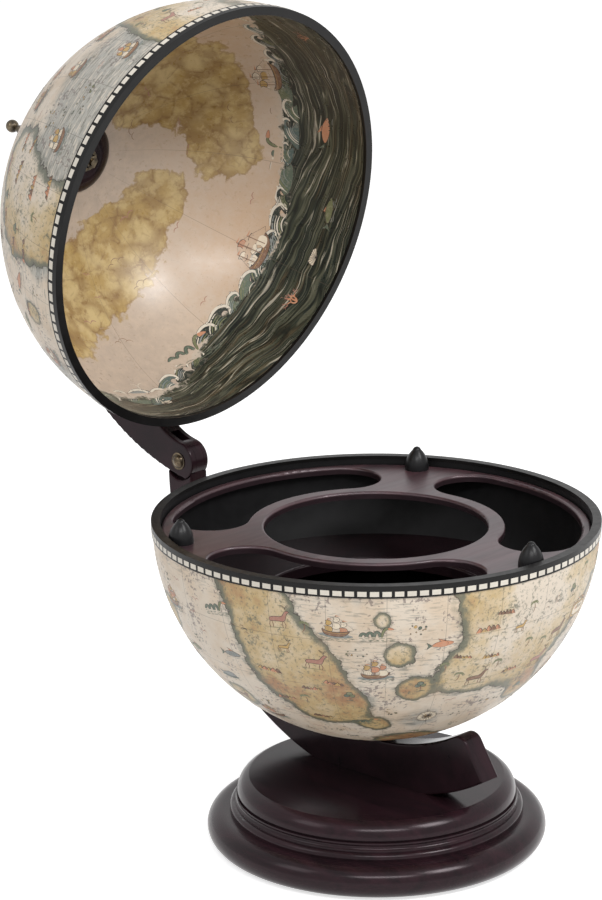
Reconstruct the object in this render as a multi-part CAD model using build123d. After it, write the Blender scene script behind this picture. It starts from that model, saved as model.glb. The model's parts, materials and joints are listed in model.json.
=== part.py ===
from build123d import *
import os
from math import acos, asin, cos, degrees, radians, sin, sqrt

# Tabletop globe bar, in millimetres. The origin is the centre of the underside, +Z is up, and the
# hinge of the lid lies behind the ball, towards +Y. The lid stands open, on its stop.

# Ball: two halves of a hollow ball, covered with printed paper
ball_radius = 165.0  # outside of the paper
shell_wall = 5.5
print_thickness = 0.4
glue_line = 0.15
rim_gap = 0.5  # between the two rims when the lid is shut

# Rim edging: an L-shaped ring on the edge of each half
ring_height = 9.0
ring_cap = 2.5
ring_proud = 0.6

# Plinth, turned: flat top, ovolo, band, cove, bead and a half-round foot
felt_thickness = 1.5
felt_radius = 113.0
plinth_height = 52.0  # top of the plinth above the table
flat_radius = 96.0
ovolo_reach = 8.8
ovolo_drop = 12.2
step_in = 1.4  # the ovolo overhangs the band under it
step_drop = 1.8
band_reach = 2.3
band_height = 1.2
cove_reach = 1.0
cove_drop = 3.8
cove_depth = 0.9
bead_drop = 1.6  # from the cove's lower edge to the top of the bead
bead_radius = 3.8
groove_drop = 2.0
foot_ledge = 5.0
foot_radius = 127.6
foot_bulge_height = 14.8
foot_bottom_radius = 116.5

# Arms: two curved boards in the plane of the hinge
foot_half_length = 60.0  # of the flat foot on the plinth
arm_gap = 6.5  # between the ball and the inner edge of an arm
arm_depth = 39.0
arm_thickness = 18.0
arm_edge_round = 1.5
arm_taper = 5.5  # how much shallower the upper arm is at the pole
taper_angle = 46.0  # where this share of that is reached
taper_share = 0.6
horn_angle = 32.3  # end of the lower arm, past the bottom of the ball
horn_round = 9.0
pole_overrun = 4.5  # end of the upper arm, past the pole, in degrees
pole_flat_depth = 0.6  # flat for the finial, below the arm's outer edge
pole_round = 12.0

# Hinge: a tongue on the lower arm between the two cheeks of the upper arm
hinge_inset = 12.0  # of the hinge axis, from the outer edge of the arms
hinge_height = 5.0  # above the bowl's rim
open_angle = 79.4
stop_slack = 1.2
knuckle_gap = 0.4
knuckle_low_angle = 230.0  # a point on the knuckle's round, from the hinge
tongue_thickness = 8.0
tongue_side_gap = 0.2
slot_room = 9.0  # between the tongue's round end and the root of the fork
neck_width_inside = 13.0  # from the hinge axis to the inner edge of the neck
neck_drop = 12.0
neck_end_angle = 20.0
pin_radius = 3.0
pin_running_gap = 0.06  # in the tongue
pin_fit_gap = 0.02  # in the cheeks of the fork
pin_head_radius = 5.6
pin_head_height = 3.2
hinge_washer_radius = 6.8
hinge_washer_thickness = 0.6
cap_nut_flats = 10.0
cap_nut_height = 3.0
cap_nut_dome = 4.5

# Boards in the bowl
tray_drop = 6.5  # below the bowl's rim
tray_thickness = 5.5
tray_edge_gap = 0.4
tray_round = 2.0
well_radius = 82.5
well_rim_width = 12.5  # between the well and the slots
slot_rim_width = 6.9  # between the slots and the tray's outer edge
slot_half_angle = 36.0
spokes = 3
first_spoke_angle = 30.0
cleat_height = 10.0
cleat_width = 16.0
cleat_angle = 13.0
rack_drop = 60.0
rack_thickness = 9.0
rack_hole_margin = 2.5  # wider than the well
rack_round = 2.0

# Turned knobs on the tray
knob_inset = 9.9  # from the tray's outer edge
knob_base_radius = 9.4
knob_base_height = 1.2
knob_belly_radius = 7.2
knob_belly_height = 10.0
knob_tip_radius = 3.2
knob_tip_height = 15.6
knob_height = 18.0
knob_screw_radius = 2.0
knob_screw_grip = 8.0
knob_screw_head_radius = 4.0
knob_screw_head_height = 2.0

# Fixings at the two poles of the ball
bolt_radius = 3.0
bolt_gap = 0.1
bore_relief = 1.0  # blind holes are deeper than what they take
boss_radius = 28.0
boss_height = 9.5
boss_top_radius = 14.0
boss_edge_height = 2.0
boss_swell = 1.4  # how far its flank bulges
spacer_overlap = 3.0  # cut away again to fit the ball
stud_overrun = 2.0  # past the nut
spacer_radius = 14.0
spot_face_depth = 1.0
seat_gap = 0.05
washer_radius = 9.0
washer_thickness = 1.2
nut_flats = 10.0
nut_height = 5.0
bolt_head_radius = 6.0
bolt_head_height = 3.6
insert_radius = 5.0
insert_length = 16.0
finial_base_radius = 10.0
finial_neck_radius = 2.2
finial_neck_height = 27.2
finial_ball_radius = 5.2
finial_foot_height = 2.0
finial_waist_radius = 6.4
finial_waist_height = 13.0
finial_bore_depth = 13.0

# Screws from the plinth into the foot of the lower arm
foot_screw_inset = 22.0  # from the ends of the foot
foot_screw_radius = 2.5
foot_screw_head_radius = 5.0
foot_screw_head_height = 3.0
foot_screw_grip = 25.0
counterbore_radius = 8.0
counterbore_depth = 20.0
foot_washer_radius = 7.0

# What follows from the sizes above
shell_outer = ball_radius - print_thickness - glue_line
shell_inner = shell_outer - shell_wall
arm_inner = ball_radius + arm_gap
arm_outer = arm_inner + arm_depth
centre_above_plinth = sqrt(arm_outer**2 - foot_half_length**2)
ball_height = plinth_height + centre_above_plinth
hinge_reach = arm_outer - hinge_inset
hinge_distance = sqrt(hinge_reach**2 + hinge_height**2)
stop_half_angle = radians((open_angle + stop_slack) / 2)
shoulder_radius = sqrt(
    (hinge_distance * cos(stop_half_angle)) ** 2 - hinge_distance**2 + arm_outer**2
) - hinge_distance * cos(stop_half_angle)
knuckle_radius = shoulder_radius - knuckle_gap
fork_root_radius = knuckle_radius + slot_room
fork_width = tongue_thickness + 2 * tongue_side_gap
tray_radius = sqrt((shell_inner - tray_edge_gap) ** 2 - (tray_drop + tray_thickness) ** 2)
slot_inner_radius = well_radius + well_rim_width
slot_outer_radius = tray_radius - slot_rim_width
knob_position_radius = tray_radius - knob_inset
rack_hole_radius = well_radius + rack_hole_margin
boss_seat = shell_inner - print_thickness - 2 * glue_line
finial_seat = arm_outer - arm_taper - pole_flat_depth
hinge_point = (0, hinge_reach, ball_height + hinge_height)


def polar(radius, angle):
    return (radius * cos(radians(angle)), radius * sin(radians(angle)))


def round_arc(radius, start, end):
    return ThreePointArc(polar(radius, start), polar(radius, (start + end) / 2), polar(radius, end))


def level_on(radius, height):
    """Point at a height on a circle about the ball's centre."""
    return (sqrt(radius**2 - height**2), height)


def angle_at_level(radius, height):
    return degrees(asin(height / radius))


def angle_at_reach(radius, reach):
    return -degrees(acos(reach / radius))


def turned(outline, sweep=360.0):
    """Solid of revolution about Z, from an outline of (radius, height)."""
    return revolve(Plane.XZ * make_face(outline), Axis.Z, sweep)


def board(face, thickness):
    """Board in the plane of the hinge, from a face drawn in (y, z)."""
    return extrude(Plane.YZ * face, thickness / 2, both=True)


def eased_board(face, thickness, radius, square_below):
    """Board with rounded long edges, but square where its outline lies on the flat foot."""
    blank = board(face, thickness)
    sides = blank.faces().filter_by(Axis.X)
    edges = [edge for side in sides for edge in side.edges() if edge.center().Z > square_below]
    return fillet(edges, radius)


def disc(radius, bottom, height, bore=0.0):
    shape = Pos(0, 0, bottom + height / 2) * Cylinder(radius, height)
    if bore:
        shape -= Pos(0, 0, bottom + height / 2) * Cylinder(bore, height)
    return shape


def cap(radius, base, height):
    """Outline of a domed cap on Z, rising (or, with a negative height, falling) from its base."""
    dome_radius = (radius**2 + height**2) / (2 * abs(height))
    half = asin(radius / dome_radius) / 2
    way = 1 if height > 0 else -1
    middle = (dome_radius * sin(half), base + height - way * dome_radius * (1 - cos(half)))
    outline = ThreePointArc((radius, base), middle, (0, base + height))
    outline += Polyline((0, base + height), (0, base), (radius, base))
    return outline


def hexagon(flats, bottom, height, bore):
    face = RegularPolygon(flats / 2, 6, major_radius=False) - Circle(bore)
    return Pos(0, 0, bottom) * extrude(face, height)


def in_bowl(part):
    return Pos(0, 0, ball_height) * part


def open_lid(part):
    """Swing a piece of the lid from shut to open about the hinge."""
    return part.rotate(Axis(hinge_point, (1, 0, 0)), -open_angle)


def in_lid(part):
    """Place a piece drawn for the lower half in the open upper half."""
    return open_lid(Pos(0, 0, ball_height + rim_gap) * mirror(part, about=Plane.XY))


# Shells, papers and rims, drawn as the lower half about the ball's centre


def half_ball(outer, inner, rim_level, hole):
    """Lower half of a hollow ball, from a level near its rim down to a hole at its pole."""
    outer_start = angle_at_level(outer, rim_level)
    outer_end = angle_at_reach(outer, hole)
    inner_start = angle_at_level(inner, rim_level)
    inner_end = angle_at_reach(inner, hole)
    outline = round_arc(outer, outer_start, outer_end)
    outline += Line(polar(outer, outer_end), polar(inner, inner_end))
    outline += round_arc(inner, inner_end, inner_start)
    outline += Line(polar(inner, inner_start), polar(outer, outer_start))
    return turned(outline)


def shell():
    return half_ball(shell_outer, shell_inner, -ring_cap - glue_line, bolt_radius + bolt_gap)


def outer_print():
    return half_ball(ball_radius, shell_outer + glue_line, -ring_height - glue_line, bolt_radius + bolt_gap)


def lining():
    outer = shell_inner - glue_line
    return half_ball(outer, outer - print_thickness, -ring_cap - glue_line, bolt_radius + bolt_gap)


def rim_ring():
    outer = ball_radius + ring_proud
    fit = shell_outer + glue_line
    bore = level_on(shell_inner, -ring_cap)[0]
    skirt_outer = angle_at_level(outer, -ring_height)
    skirt_inner = angle_at_level(fit, -ring_height)
    cap_inner = angle_at_level(fit, -ring_cap)
    outline = Line((bore, 0), (outer, 0))
    outline += round_arc(outer, 0, skirt_outer)
    outline += Line(polar(outer, skirt_outer), polar(fit, skirt_inner))
    outline += round_arc(fit, skirt_inner, cap_inner)
    outline += Line(polar(fit, cap_inner), (bore, -ring_cap))
    outline += Line((bore, -ring_cap), (bore, 0))
    return turned(outline)


def boss(seat):
    """Turned boss inside the pole of a half: round back, swelling flank, flat middle."""
    bore = bolt_radius + bolt_gap
    start = angle_at_reach(seat, bore)
    end = angle_at_reach(seat, boss_radius)
    top = -seat + boss_height
    edge_low = polar(seat, end)
    edge_high = (boss_radius, edge_low[1] + boss_edge_height)
    shoulder = (boss_top_radius, top)
    swell = ((boss_radius + boss_top_radius + boss_swell) / 2, (edge_high[1] + top) / 2 + boss_swell)
    outline = round_arc(seat, start, end)
    outline += Line(edge_low, edge_high)
    outline += ThreePointArc(edge_high, swell, shoulder)
    outline += Line(shoulder, (bore, top))
    outline += Line((bore, top), polar(seat, start))
    return turned(outline)


def spacer():
    """Turned washer between the ball and the flat seat on an arm."""
    seat = arm_inner + spot_face_depth
    blank = disc(spacer_radius, -seat, arm_gap + spot_face_depth + spacer_overlap, bolt_radius + bolt_gap)
    return blank - Sphere(ball_radius + seat_gap)


# Plinth


def plinth():
    ovolo_radius = (ovolo_reach**2 + ovolo_drop**2) / (2 * ovolo_reach)
    ovolo_end = (flat_radius + ovolo_reach, plinth_height - ovolo_drop)
    half_turn = asin(ovolo_drop / ovolo_radius) / 2
    ovolo_middle = (
        ovolo_end[0] - ovolo_radius * (1 - cos(half_turn)),
        ovolo_end[1] + ovolo_radius * sin(half_turn),
    )
    step = (ovolo_end[0] - step_in, ovolo_end[1] - step_drop)
    band = (step[0] + band_reach, step[1] - band_height)
    cove_end = (band[0] + cove_reach, band[1] - cove_drop)
    cove_middle = (band[0] + cove_reach / 2 - cove_depth, band[1] - cove_drop / 2)
    bead_centre = (cove_end[0], cove_end[1] - bead_drop - bead_radius)
    bead_rise = polar(bead_radius, 45)
    bead_end = (bead_centre[0] + bead_radius, bead_centre[1])
    foot_start = (bead_end[0] + foot_ledge, bead_end[1] - groove_drop)
    foot_end = (foot_bottom_radius, felt_thickness)
    outline = Polyline((0, felt_thickness), (0, plinth_height), (flat_radius, plinth_height))
    outline += ThreePointArc((flat_radius, plinth_height), ovolo_middle, ovolo_end)
    outline += Polyline(ovolo_end, (step[0], ovolo_end[1]), step, (band[0], step[1]), band)
    outline += ThreePointArc(band, cove_middle, cove_end)
    outline += Line(cove_end, (bead_centre[0], bead_centre[1] + bead_radius))
    outline += ThreePointArc(
        (bead_centre[0], bead_centre[1] + bead_radius),
        (bead_centre[0] + bead_rise[0], bead_centre[1] + bead_rise[1]),
        bead_end,
    )
    outline += Polyline(bead_end, (bead_end[0], foot_start[1]), foot_start)
    outline += ThreePointArc(foot_start, (foot_radius, foot_bulge_height), foot_end)
    outline += Line(foot_end, (0, felt_thickness))
    body = turned(outline)
    for place in foot_screw_places():
        body -= place * disc(foot_screw_radius + bolt_gap, 0, plinth_height)
        body -= place * disc(counterbore_radius, 0, felt_thickness + counterbore_depth)
    return body


def foot_screw_places():
    return [Pos(0, side * (foot_half_length - foot_screw_inset), 0) for side in (-1, 1)]


def foot_screw():
    """Screw with a countersunk neck under a flat head."""
    seat = felt_thickness + counterbore_depth - washer_thickness
    tip = plinth_height + foot_screw_grip
    outline = Polyline(
        (0, seat - foot_screw_head_height),
        (foot_screw_head_radius, seat - foot_screw_head_height),
        (foot_screw_head_radius, seat),
        (foot_screw_radius, seat),
        (foot_screw_radius, tip - 2 * foot_screw_radius),
        (0, tip),
        close=True,
    )
    return turned(outline)


def foot_washer():
    seat = felt_thickness + counterbore_depth - washer_thickness
    return disc(foot_washer_radius, seat, washer_thickness, foot_screw_radius + bolt_gap)


# Arms, drawn about the ball's centre in (y, z)


def pin_bore(gap):
    return Pos(0, hinge_reach, hinge_height) * Rot(0, 90, 0) * Cylinder(pin_radius + gap, 2 * arm_thickness)


def pole_bore(radius, start, depth):
    """Round hole along the ball's axis, from a distance below its centre downwards."""
    return Pos(0, 0, -start - depth / 2) * Cylinder(radius, depth)


def lower_arm():
    neck_inner = hinge_reach - neck_width_inside
    top_outer = level_on(arm_outer, hinge_height)
    foot_angle = degrees(asin(centre_above_plinth / arm_outer))
    horn = -90 - horn_angle
    neck_low = (neck_inner, -neck_drop)
    neck_joint = polar(arm_inner, -neck_end_angle)
    joint_direction = polar(1, -neck_end_angle - 90)
    outline = round_arc(arm_outer, angle_at_level(arm_outer, hinge_height), -foot_angle)
    outline += Line((foot_half_length, -centre_above_plinth), (-foot_half_length, -centre_above_plinth))
    outline += round_arc(arm_outer, foot_angle - 180, horn)
    outline += Line(polar(arm_outer, horn), polar(arm_inner, horn))
    outline += round_arc(arm_inner, horn, -neck_end_angle)
    outline += Spline(neck_joint, neck_low, tangents=[(-joint_direction[0], -joint_direction[1]), (0, 1)])
    outline += Line(neck_low, (neck_inner, hinge_height))
    outline += Line((neck_inner, hinge_height), top_outer)
    face = make_face(outline)
    horn_corner = face.vertices().sort_by_distance(polar(arm_inner, horn))[0]
    face = fillet(horn_corner, horn_round)
    hinge = Pos(hinge_reach, hinge_height)
    knuckle = (hinge * Circle(knuckle_radius)) & Circle(arm_outer)
    blade_face = face - hinge * Circle(shoulder_radius)
    blade = eased_board(blade_face, arm_thickness, arm_edge_round, arm_edge_round - centre_above_plinth)
    tongue = board(face + knuckle, tongue_thickness)
    arm = blade + tongue - pin_bore(pin_running_gap)
    arm -= pole_bore(spacer_radius + seat_gap, 0, arm_inner + spot_face_depth)
    arm -= pole_bore(insert_radius, arm_inner, spot_face_depth + insert_length + bolt_gap)
    screw_depth = arm_outer - centre_above_plinth + foot_screw_grip
    for place in foot_screw_places():
        arm -= place * disc(foot_screw_radius + bolt_gap, -arm_outer, screw_depth)
    return arm


def upper_arm():
    """Board over the lid, drawn shut, about the centre of the lid's ball."""
    hinge_level = hinge_height - rim_gap
    pole_outer = arm_outer - arm_taper
    half_taper = arm_outer - taper_share * arm_taper
    end = 90 + pole_overrun
    hinge_far = sqrt(hinge_reach**2 + hinge_level**2)
    hinge_direction = degrees(asin(hinge_level / hinge_far))
    clip_reach = (arm_outer**2 - knuckle_radius**2 + hinge_far**2) / (2 * hinge_far)
    clip = polar(arm_outer, hinge_direction - degrees(acos(clip_reach / arm_outer)))
    low_inner = (hinge_reach - knuckle_radius, hinge_level)
    knuckle_low = polar(knuckle_radius, knuckle_low_angle)
    neck_joint = polar(arm_inner, neck_end_angle)
    joint_direction = polar(1, neck_end_angle + 90)
    outline = ThreePointArc(clip, polar(half_taper, taper_angle), polar(pole_outer, end))
    outline += Line(polar(pole_outer, end), polar(arm_inner, end))
    outline += round_arc(arm_inner, end, neck_end_angle)
    outline += Spline(neck_joint, low_inner, tangents=[(-joint_direction[0], -joint_direction[1]), (0, -1)])
    outline += ThreePointArc(low_inner, (hinge_reach + knuckle_low[0], hinge_level + knuckle_low[1]), clip)
    face = make_face(outline)
    end_corner = face.vertices().sort_by_distance(polar(pole_outer, end))[0]
    face = fillet(end_corner, pole_round)
    arm = eased_board(face, arm_thickness, arm_edge_round, -arm_outer)
    across = Pos(0, hinge_reach, hinge_level) * Rot(0, 90, 0)
    arm -= across * Cylinder(fork_root_radius, fork_width)
    arm -= across * Cylinder(pin_radius + pin_fit_gap, 2 * arm_thickness)
    arm -= mirror(pole_bore(spacer_radius + seat_gap, 0, arm_inner + spot_face_depth), about=Plane.XY)
    arm -= mirror(pole_bore(bolt_radius + bolt_gap, arm_inner, arm_depth), about=Plane.XY)
    arm -= mirror(pole_bore(finial_base_radius + seat_gap, finial_seat, arm_taper), about=Plane.XY)
    return arm


# Hinge hardware, drawn about the hinge axis laid along Z


def on_hinge(part):
    """Lay a piece drawn along Z onto the hinge axis, its head towards -X."""
    return Pos(*hinge_point) * Rot(0, 90, 0) * part


def hinge_pin():
    start = -arm_thickness / 2 - hinge_washer_thickness
    end = arm_thickness / 2 + hinge_washer_thickness + cap_nut_height
    head = turned(cap(pin_head_radius, start, -pin_head_height))
    return head + disc(pin_radius, start, end - start)


def hinge_washer(side):
    low = arm_thickness / 2 if side > 0 else -arm_thickness / 2 - hinge_washer_thickness
    return disc(hinge_washer_radius, low, hinge_washer_thickness, pin_radius + bolt_gap)


def cap_nut():
    low = arm_thickness / 2 + hinge_washer_thickness
    nut = hexagon(cap_nut_flats, low, cap_nut_height, pin_radius + bolt_gap)
    return nut + turned(cap(cap_nut_flats / 2, low + cap_nut_height, cap_nut_dome))


# Boards and knobs in the bowl, about the ball's centre


def wall_point(level, gap):
    return level_on(shell_inner - gap, level)


def spoke_turns():
    return [Rot(0, 0, first_spoke_angle + number * 360 / spokes) for number in range(spokes)]


def tray():
    under = -tray_drop - tray_thickness
    middle = (slot_inner_radius + slot_outer_radius) / 2
    slot_arc = CenterArc((0, 0), middle, 180 / spokes - slot_half_angle, 2 * slot_half_angle)
    slot = SlotArc(slot_arc, slot_outer_radius - slot_inner_radius)
    face = Circle(tray_radius) - Circle(well_radius)
    for turn in spoke_turns():
        face -= turn * slot
    plate = Pos(0, 0, under) * extrude(face, tray_thickness)
    plate = fillet(plate.edges().group_by(Axis.Z)[-1], tray_round)
    screw_hole = Pos(knob_position_radius, 0, 0) * disc(knob_screw_radius + bolt_gap, under, tray_thickness)
    for turn in spoke_turns():
        plate -= turn * screw_hole
    return plate


def cleats():
    top = -tray_drop - tray_thickness
    bottom = top - cleat_height
    high = angle_at_level(shell_inner - glue_line, top)
    low = angle_at_level(shell_inner - glue_line, bottom)
    inner = wall_point(top, 0)[0] - cleat_width
    outline = round_arc(shell_inner - glue_line, high, low)
    outline += Polyline(polar(shell_inner - glue_line, low), (inner, bottom), (inner, top))
    outline += Line((inner, top), polar(shell_inner - glue_line, high))
    block = Rot(0, 0, -cleat_angle / 2) * turned(outline, cleat_angle)
    block -= Pos(knob_position_radius, 0, 0) * disc(knob_screw_radius + bolt_gap, bottom, cleat_height)
    return Compound([turn * block for turn in spoke_turns()])


def rack_board():
    top = -rack_drop
    bottom = top - rack_thickness
    high = angle_at_level(shell_inner - glue_line, top)
    low = angle_at_level(shell_inner - glue_line, bottom)
    outline = round_arc(shell_inner - glue_line, high, low)
    hole_low = (rack_hole_radius, bottom)
    hole_high = (rack_hole_radius, top)
    outline += Polyline(polar(shell_inner - glue_line, low), hole_low, hole_high)
    outline += Line(hole_high, polar(shell_inner - glue_line, high))
    plate = turned(outline)
    hole_edge = plate.edges().filter_by(GeomType.CIRCLE).group_by(Axis.Z)[-1].sort_by(SortBy.RADIUS)[0]
    return fillet(hole_edge, rack_round)


def knob():
    """Pointed turned knob with a thin foot and a blind hole for its screw."""
    base = -tray_drop
    lip = (knob_base_radius, base + knob_base_height)
    belly = (knob_belly_radius, base + knob_belly_height)
    tip = (knob_tip_radius, base + knob_tip_height)
    outline = Polyline((0, tip[1]), (0, base), (knob_base_radius, base), lip)
    outline += ThreePointArc(lip, belly, tip)
    outline += Line(tip, (0, tip[1]))
    body = turned(outline) + turned(cap(knob_tip_radius, tip[1], knob_height - knob_tip_height))
    return body - disc(knob_screw_radius + bolt_gap, base, knob_screw_grip + bore_relief)


def knob_screw():
    low = -tray_drop - tray_thickness - cleat_height
    shank = disc(knob_screw_radius, low, cleat_height + tray_thickness + knob_screw_grip)
    return shank + disc(knob_screw_head_radius, low - knob_screw_head_height, knob_screw_head_height)


# Fixings at the poles, drawn for the lower pole


def boss_face(seat):
    return -seat + boss_height


def washer(seat):
    return disc(washer_radius, boss_face(seat), washer_thickness, bolt_radius + bolt_gap)


def bowl_bolt():
    under_head = boss_face(shell_inner - seat_gap) + washer_thickness
    end = -arm_inner - spot_face_depth - insert_length
    head = disc(bolt_head_radius, under_head, bolt_head_height)
    head = fillet(head.edges().group_by(Axis.Z)[-1], bolt_head_height / 2)
    return head + disc(bolt_radius, end, under_head - end)


def arm_insert():
    low = -arm_inner - spot_face_depth - insert_length
    return disc(insert_radius, low, insert_length, bolt_radius + bolt_gap)


def pole_stud():
    high = boss_face(boss_seat) + washer_thickness + nut_height + stud_overrun
    low = -finial_seat - finial_bore_depth + bore_relief
    return disc(bolt_radius, low, high - low)


def pole_nut():
    return hexagon(nut_flats, boss_face(boss_seat) + washer_thickness, nut_height, bolt_radius + bolt_gap)


def finial():
    """Turned finial: trumpet foot, thin neck and ball, hanging from the lower pole as drawn."""
    root = finial_seat
    ball_centre = root + finial_neck_height + finial_ball_radius
    neck_angle = degrees(asin(finial_neck_radius / finial_ball_radius))
    ball_top = ball_centre - finial_ball_radius * cos(radians(neck_angle))
    neck = (finial_neck_radius, -ball_top)
    foot = (finial_base_radius, -root)
    lip = (finial_base_radius, -root - finial_foot_height)
    waist = (finial_waist_radius, -root - finial_waist_height)
    ball_side = (finial_ball_radius, -ball_centre)
    ball_end = (0, -ball_centre - finial_ball_radius)
    outline = Line((0, -root), foot) + Line(foot, lip)
    outline += Spline(lip, waist, neck, tangents=[(-0.6, -1), (-0.3, -1)])
    outline += ThreePointArc(neck, ball_side, ball_end)
    outline += Line(ball_end, (0, -root))
    return turned(outline) - disc(bolt_radius + bolt_gap, -root - finial_bore_depth, finial_bore_depth)


# Nodes


def build_nodes():
    nodes = {
        "base_felt": disc(felt_radius, 0, felt_thickness),
        "plinth": plinth(),
        "plinth_screws": Compound([place * foot_screw() for place in foot_screw_places()]),
        "plinth_washers": Compound([place * foot_washer() for place in foot_screw_places()]),
        "lower_arm": in_bowl(lower_arm()),
        "arm_insert": in_bowl(arm_insert()),
        "bowl_spacer": in_bowl(spacer()),
        "bowl_shell": in_bowl(shell()),
        "bowl_print": in_bowl(outer_print()),
        "bowl_rim_ring": in_bowl(rim_ring()),
        "bowl_boss": in_bowl(boss(shell_inner - seat_gap)),
        "bowl_washer": in_bowl(washer(shell_inner - seat_gap)),
        "bowl_bolt": in_bowl(bowl_bolt()),
        "rack_board": in_bowl(rack_board()),
        "tray": in_bowl(tray()),
        "tray_cleats": in_bowl(cleats()),
        "upper_arm": open_lid(Pos(0, 0, ball_height + rim_gap) * upper_arm()),
        "lid_spacer": in_lid(spacer()),
        "lid_shell": in_lid(shell()),
        "lid_print": in_lid(outer_print()),
        "lid_lining": in_lid(lining()),
        "lid_rim_ring": in_lid(rim_ring()),
        "lid_boss": in_lid(boss(boss_seat)),
        "pole_washer": in_lid(washer(boss_seat)),
        "pole_nut": in_lid(pole_nut()),
        "pole_stud": in_lid(pole_stud()),
        "pole_finial": in_lid(finial()),
        "hinge_pin": open_lid(on_hinge(hinge_pin())),
        "hinge_washers": open_lid(on_hinge(Compound([hinge_washer(-1), hinge_washer(1)]))),
        "hinge_cap_nut": open_lid(on_hinge(cap_nut())),
    }
    knob_places = [turn * Pos(knob_position_radius, 0, 0) for turn in spoke_turns()]
    for name, place in zip(("right", "left", "front"), knob_places):
        nodes["tray_knob_" + name] = in_bowl(place * knob())
    nodes["knob_screws"] = Compound([in_bowl(place * knob_screw()) for place in knob_places])
    return nodes


os.makedirs("parts", exist_ok=True)
for node_name, node in build_nodes().items():
    export_step(node, os.path.join("parts", node_name + ".step"))
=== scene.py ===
import bpy
import bmesh
import json
import math
import numpy as np
from mathutils import Matrix, Vector
from mathutils.geometry import delaunay_2d_cdt


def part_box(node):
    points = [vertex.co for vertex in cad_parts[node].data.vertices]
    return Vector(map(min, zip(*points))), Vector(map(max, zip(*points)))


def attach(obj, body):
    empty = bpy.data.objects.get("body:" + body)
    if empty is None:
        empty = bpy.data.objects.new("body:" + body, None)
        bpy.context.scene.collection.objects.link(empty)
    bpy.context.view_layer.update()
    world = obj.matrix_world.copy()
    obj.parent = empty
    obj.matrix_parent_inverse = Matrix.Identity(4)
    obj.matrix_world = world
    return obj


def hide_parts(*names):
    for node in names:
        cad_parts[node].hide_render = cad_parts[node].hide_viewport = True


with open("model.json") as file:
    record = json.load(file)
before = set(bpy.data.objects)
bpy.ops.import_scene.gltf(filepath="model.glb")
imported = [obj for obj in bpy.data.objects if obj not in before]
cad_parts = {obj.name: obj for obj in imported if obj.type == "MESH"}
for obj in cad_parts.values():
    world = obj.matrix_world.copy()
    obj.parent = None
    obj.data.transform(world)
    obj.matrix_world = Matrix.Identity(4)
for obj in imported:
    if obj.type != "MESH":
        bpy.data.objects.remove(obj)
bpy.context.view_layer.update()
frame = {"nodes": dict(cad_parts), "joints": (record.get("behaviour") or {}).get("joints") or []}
print("stage: frame loaded,", len(frame["nodes"]), "CAD nodes")

hingeJoint = frame["joints"][0]
hingePoint = Vector(hingeJoint["pos_m"])
openAngle = math.radians(max(hingeJoint["range_deg"]))
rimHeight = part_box("bowl_rim_ring")[1].z

ball = dict(
    mapFace=0.16485,     # the map's paper, with room for its ink under 165 mm
    mapBack=0.16460,
    skyFace=0.15855,     # the paper inside the lid
    skyBack=0.15880,
    mapSkirt=0.00915,    # where the papers stop below the rims
    skySkirt=0.00265,
    rimGap=0.0005,
    bore=0.0031,
)

bowlPlace = Matrix.Translation((0, 0, rimHeight))
lidPlace = (
    Matrix.Translation(hingePoint)
    @ Matrix.Rotation(-openAngle, 4, "X")
    @ Matrix.Translation(-hingePoint)
    @ Matrix.Translation((0, 0, rimHeight + ball["rimGap"]))
)


# node trees

def addNode(tree, kind, inputs=None, **settings):
    node = tree.nodes.new(kind)
    for key, value in settings.items():
        setattr(node, key, value)
    for key, value in (inputs or {}).items():
        socket = node.inputs[key]
        if isinstance(value, bpy.types.NodeSocket):
            tree.links.new(value, socket)
        else:
            socket.default_value = value
    return node


def newMaterial(name):
    material = bpy.data.materials.new(name)
    material.use_nodes = True
    tree = material.node_tree
    tree.nodes.clear()
    shader = addNode(tree, "ShaderNodeBsdfPrincipled")
    output = addNode(tree, "ShaderNodeOutputMaterial")
    tree.links.new(shader.outputs["BSDF"], output.inputs["Surface"])
    return material, tree, shader


def objectPoint(tree, scale=(1, 1, 1)):
    coords = addNode(tree, "ShaderNodeTexCoord").outputs["Object"]
    return addNode(tree, "ShaderNodeMapping", dict(Vector=coords, Scale=scale)).outputs["Vector"]


def noise(tree, vector, scale, detail=3, roughness=0.55, distortion=0.0):
    return addNode(tree, "ShaderNodeTexNoise", dict(
        Vector=vector, Scale=scale, Detail=detail, Roughness=roughness, Distortion=distortion)).outputs["Fac"]


def calc(tree, operation, a, b=0.0):
    return addNode(tree, "ShaderNodeMath", {0: a, 1: b}, operation=operation).outputs[0]


def times(tree, a, b):
    return calc(tree, "MULTIPLY", a, b)


def minus(tree, a, b):
    return calc(tree, "SUBTRACT", a, b)


def plus(tree, a, b, share=1.0):
    return calc(tree, "ADD", a, b if share == 1.0 else times(tree, b, share))


def separate(tree, vector):
    return addNode(tree, "ShaderNodeSeparateXYZ", {0: vector}).outputs


def combine(tree, **parts):
    return addNode(tree, "ShaderNodeCombineXYZ", parts).outputs[0]


def vectorCalc(tree, operation, inputs, output=0):
    return addNode(tree, "ShaderNodeVectorMath", inputs, operation=operation).outputs[output]


def ramp(tree, factor, stops):
    node = addNode(tree, "ShaderNodeValToRGB", dict(Fac=factor))
    elements = node.color_ramp.elements
    while len(elements) > 1:
        elements.remove(elements[-1])
    for index, (place, value) in enumerate(stops):
        element = elements[0] if index == 0 else elements.new(place)
        element.position = place
        element.color = (*value, 1) if isinstance(value, tuple) else (value, value, value, 1)
    return node.outputs["Color"]


def blendColour(tree, factor, a, b):
    node = addNode(tree, "ShaderNodeMix", data_type="RGBA")
    for socket, value in ((node.inputs[0], factor), (node.inputs[6], a), (node.inputs[7], b)):
        if isinstance(value, bpy.types.NodeSocket):
            tree.links.new(value, socket)
        elif isinstance(value, tuple):
            socket.default_value = (*value, 1)
        else:
            socket.default_value = value
    return node.outputs[2]


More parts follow.
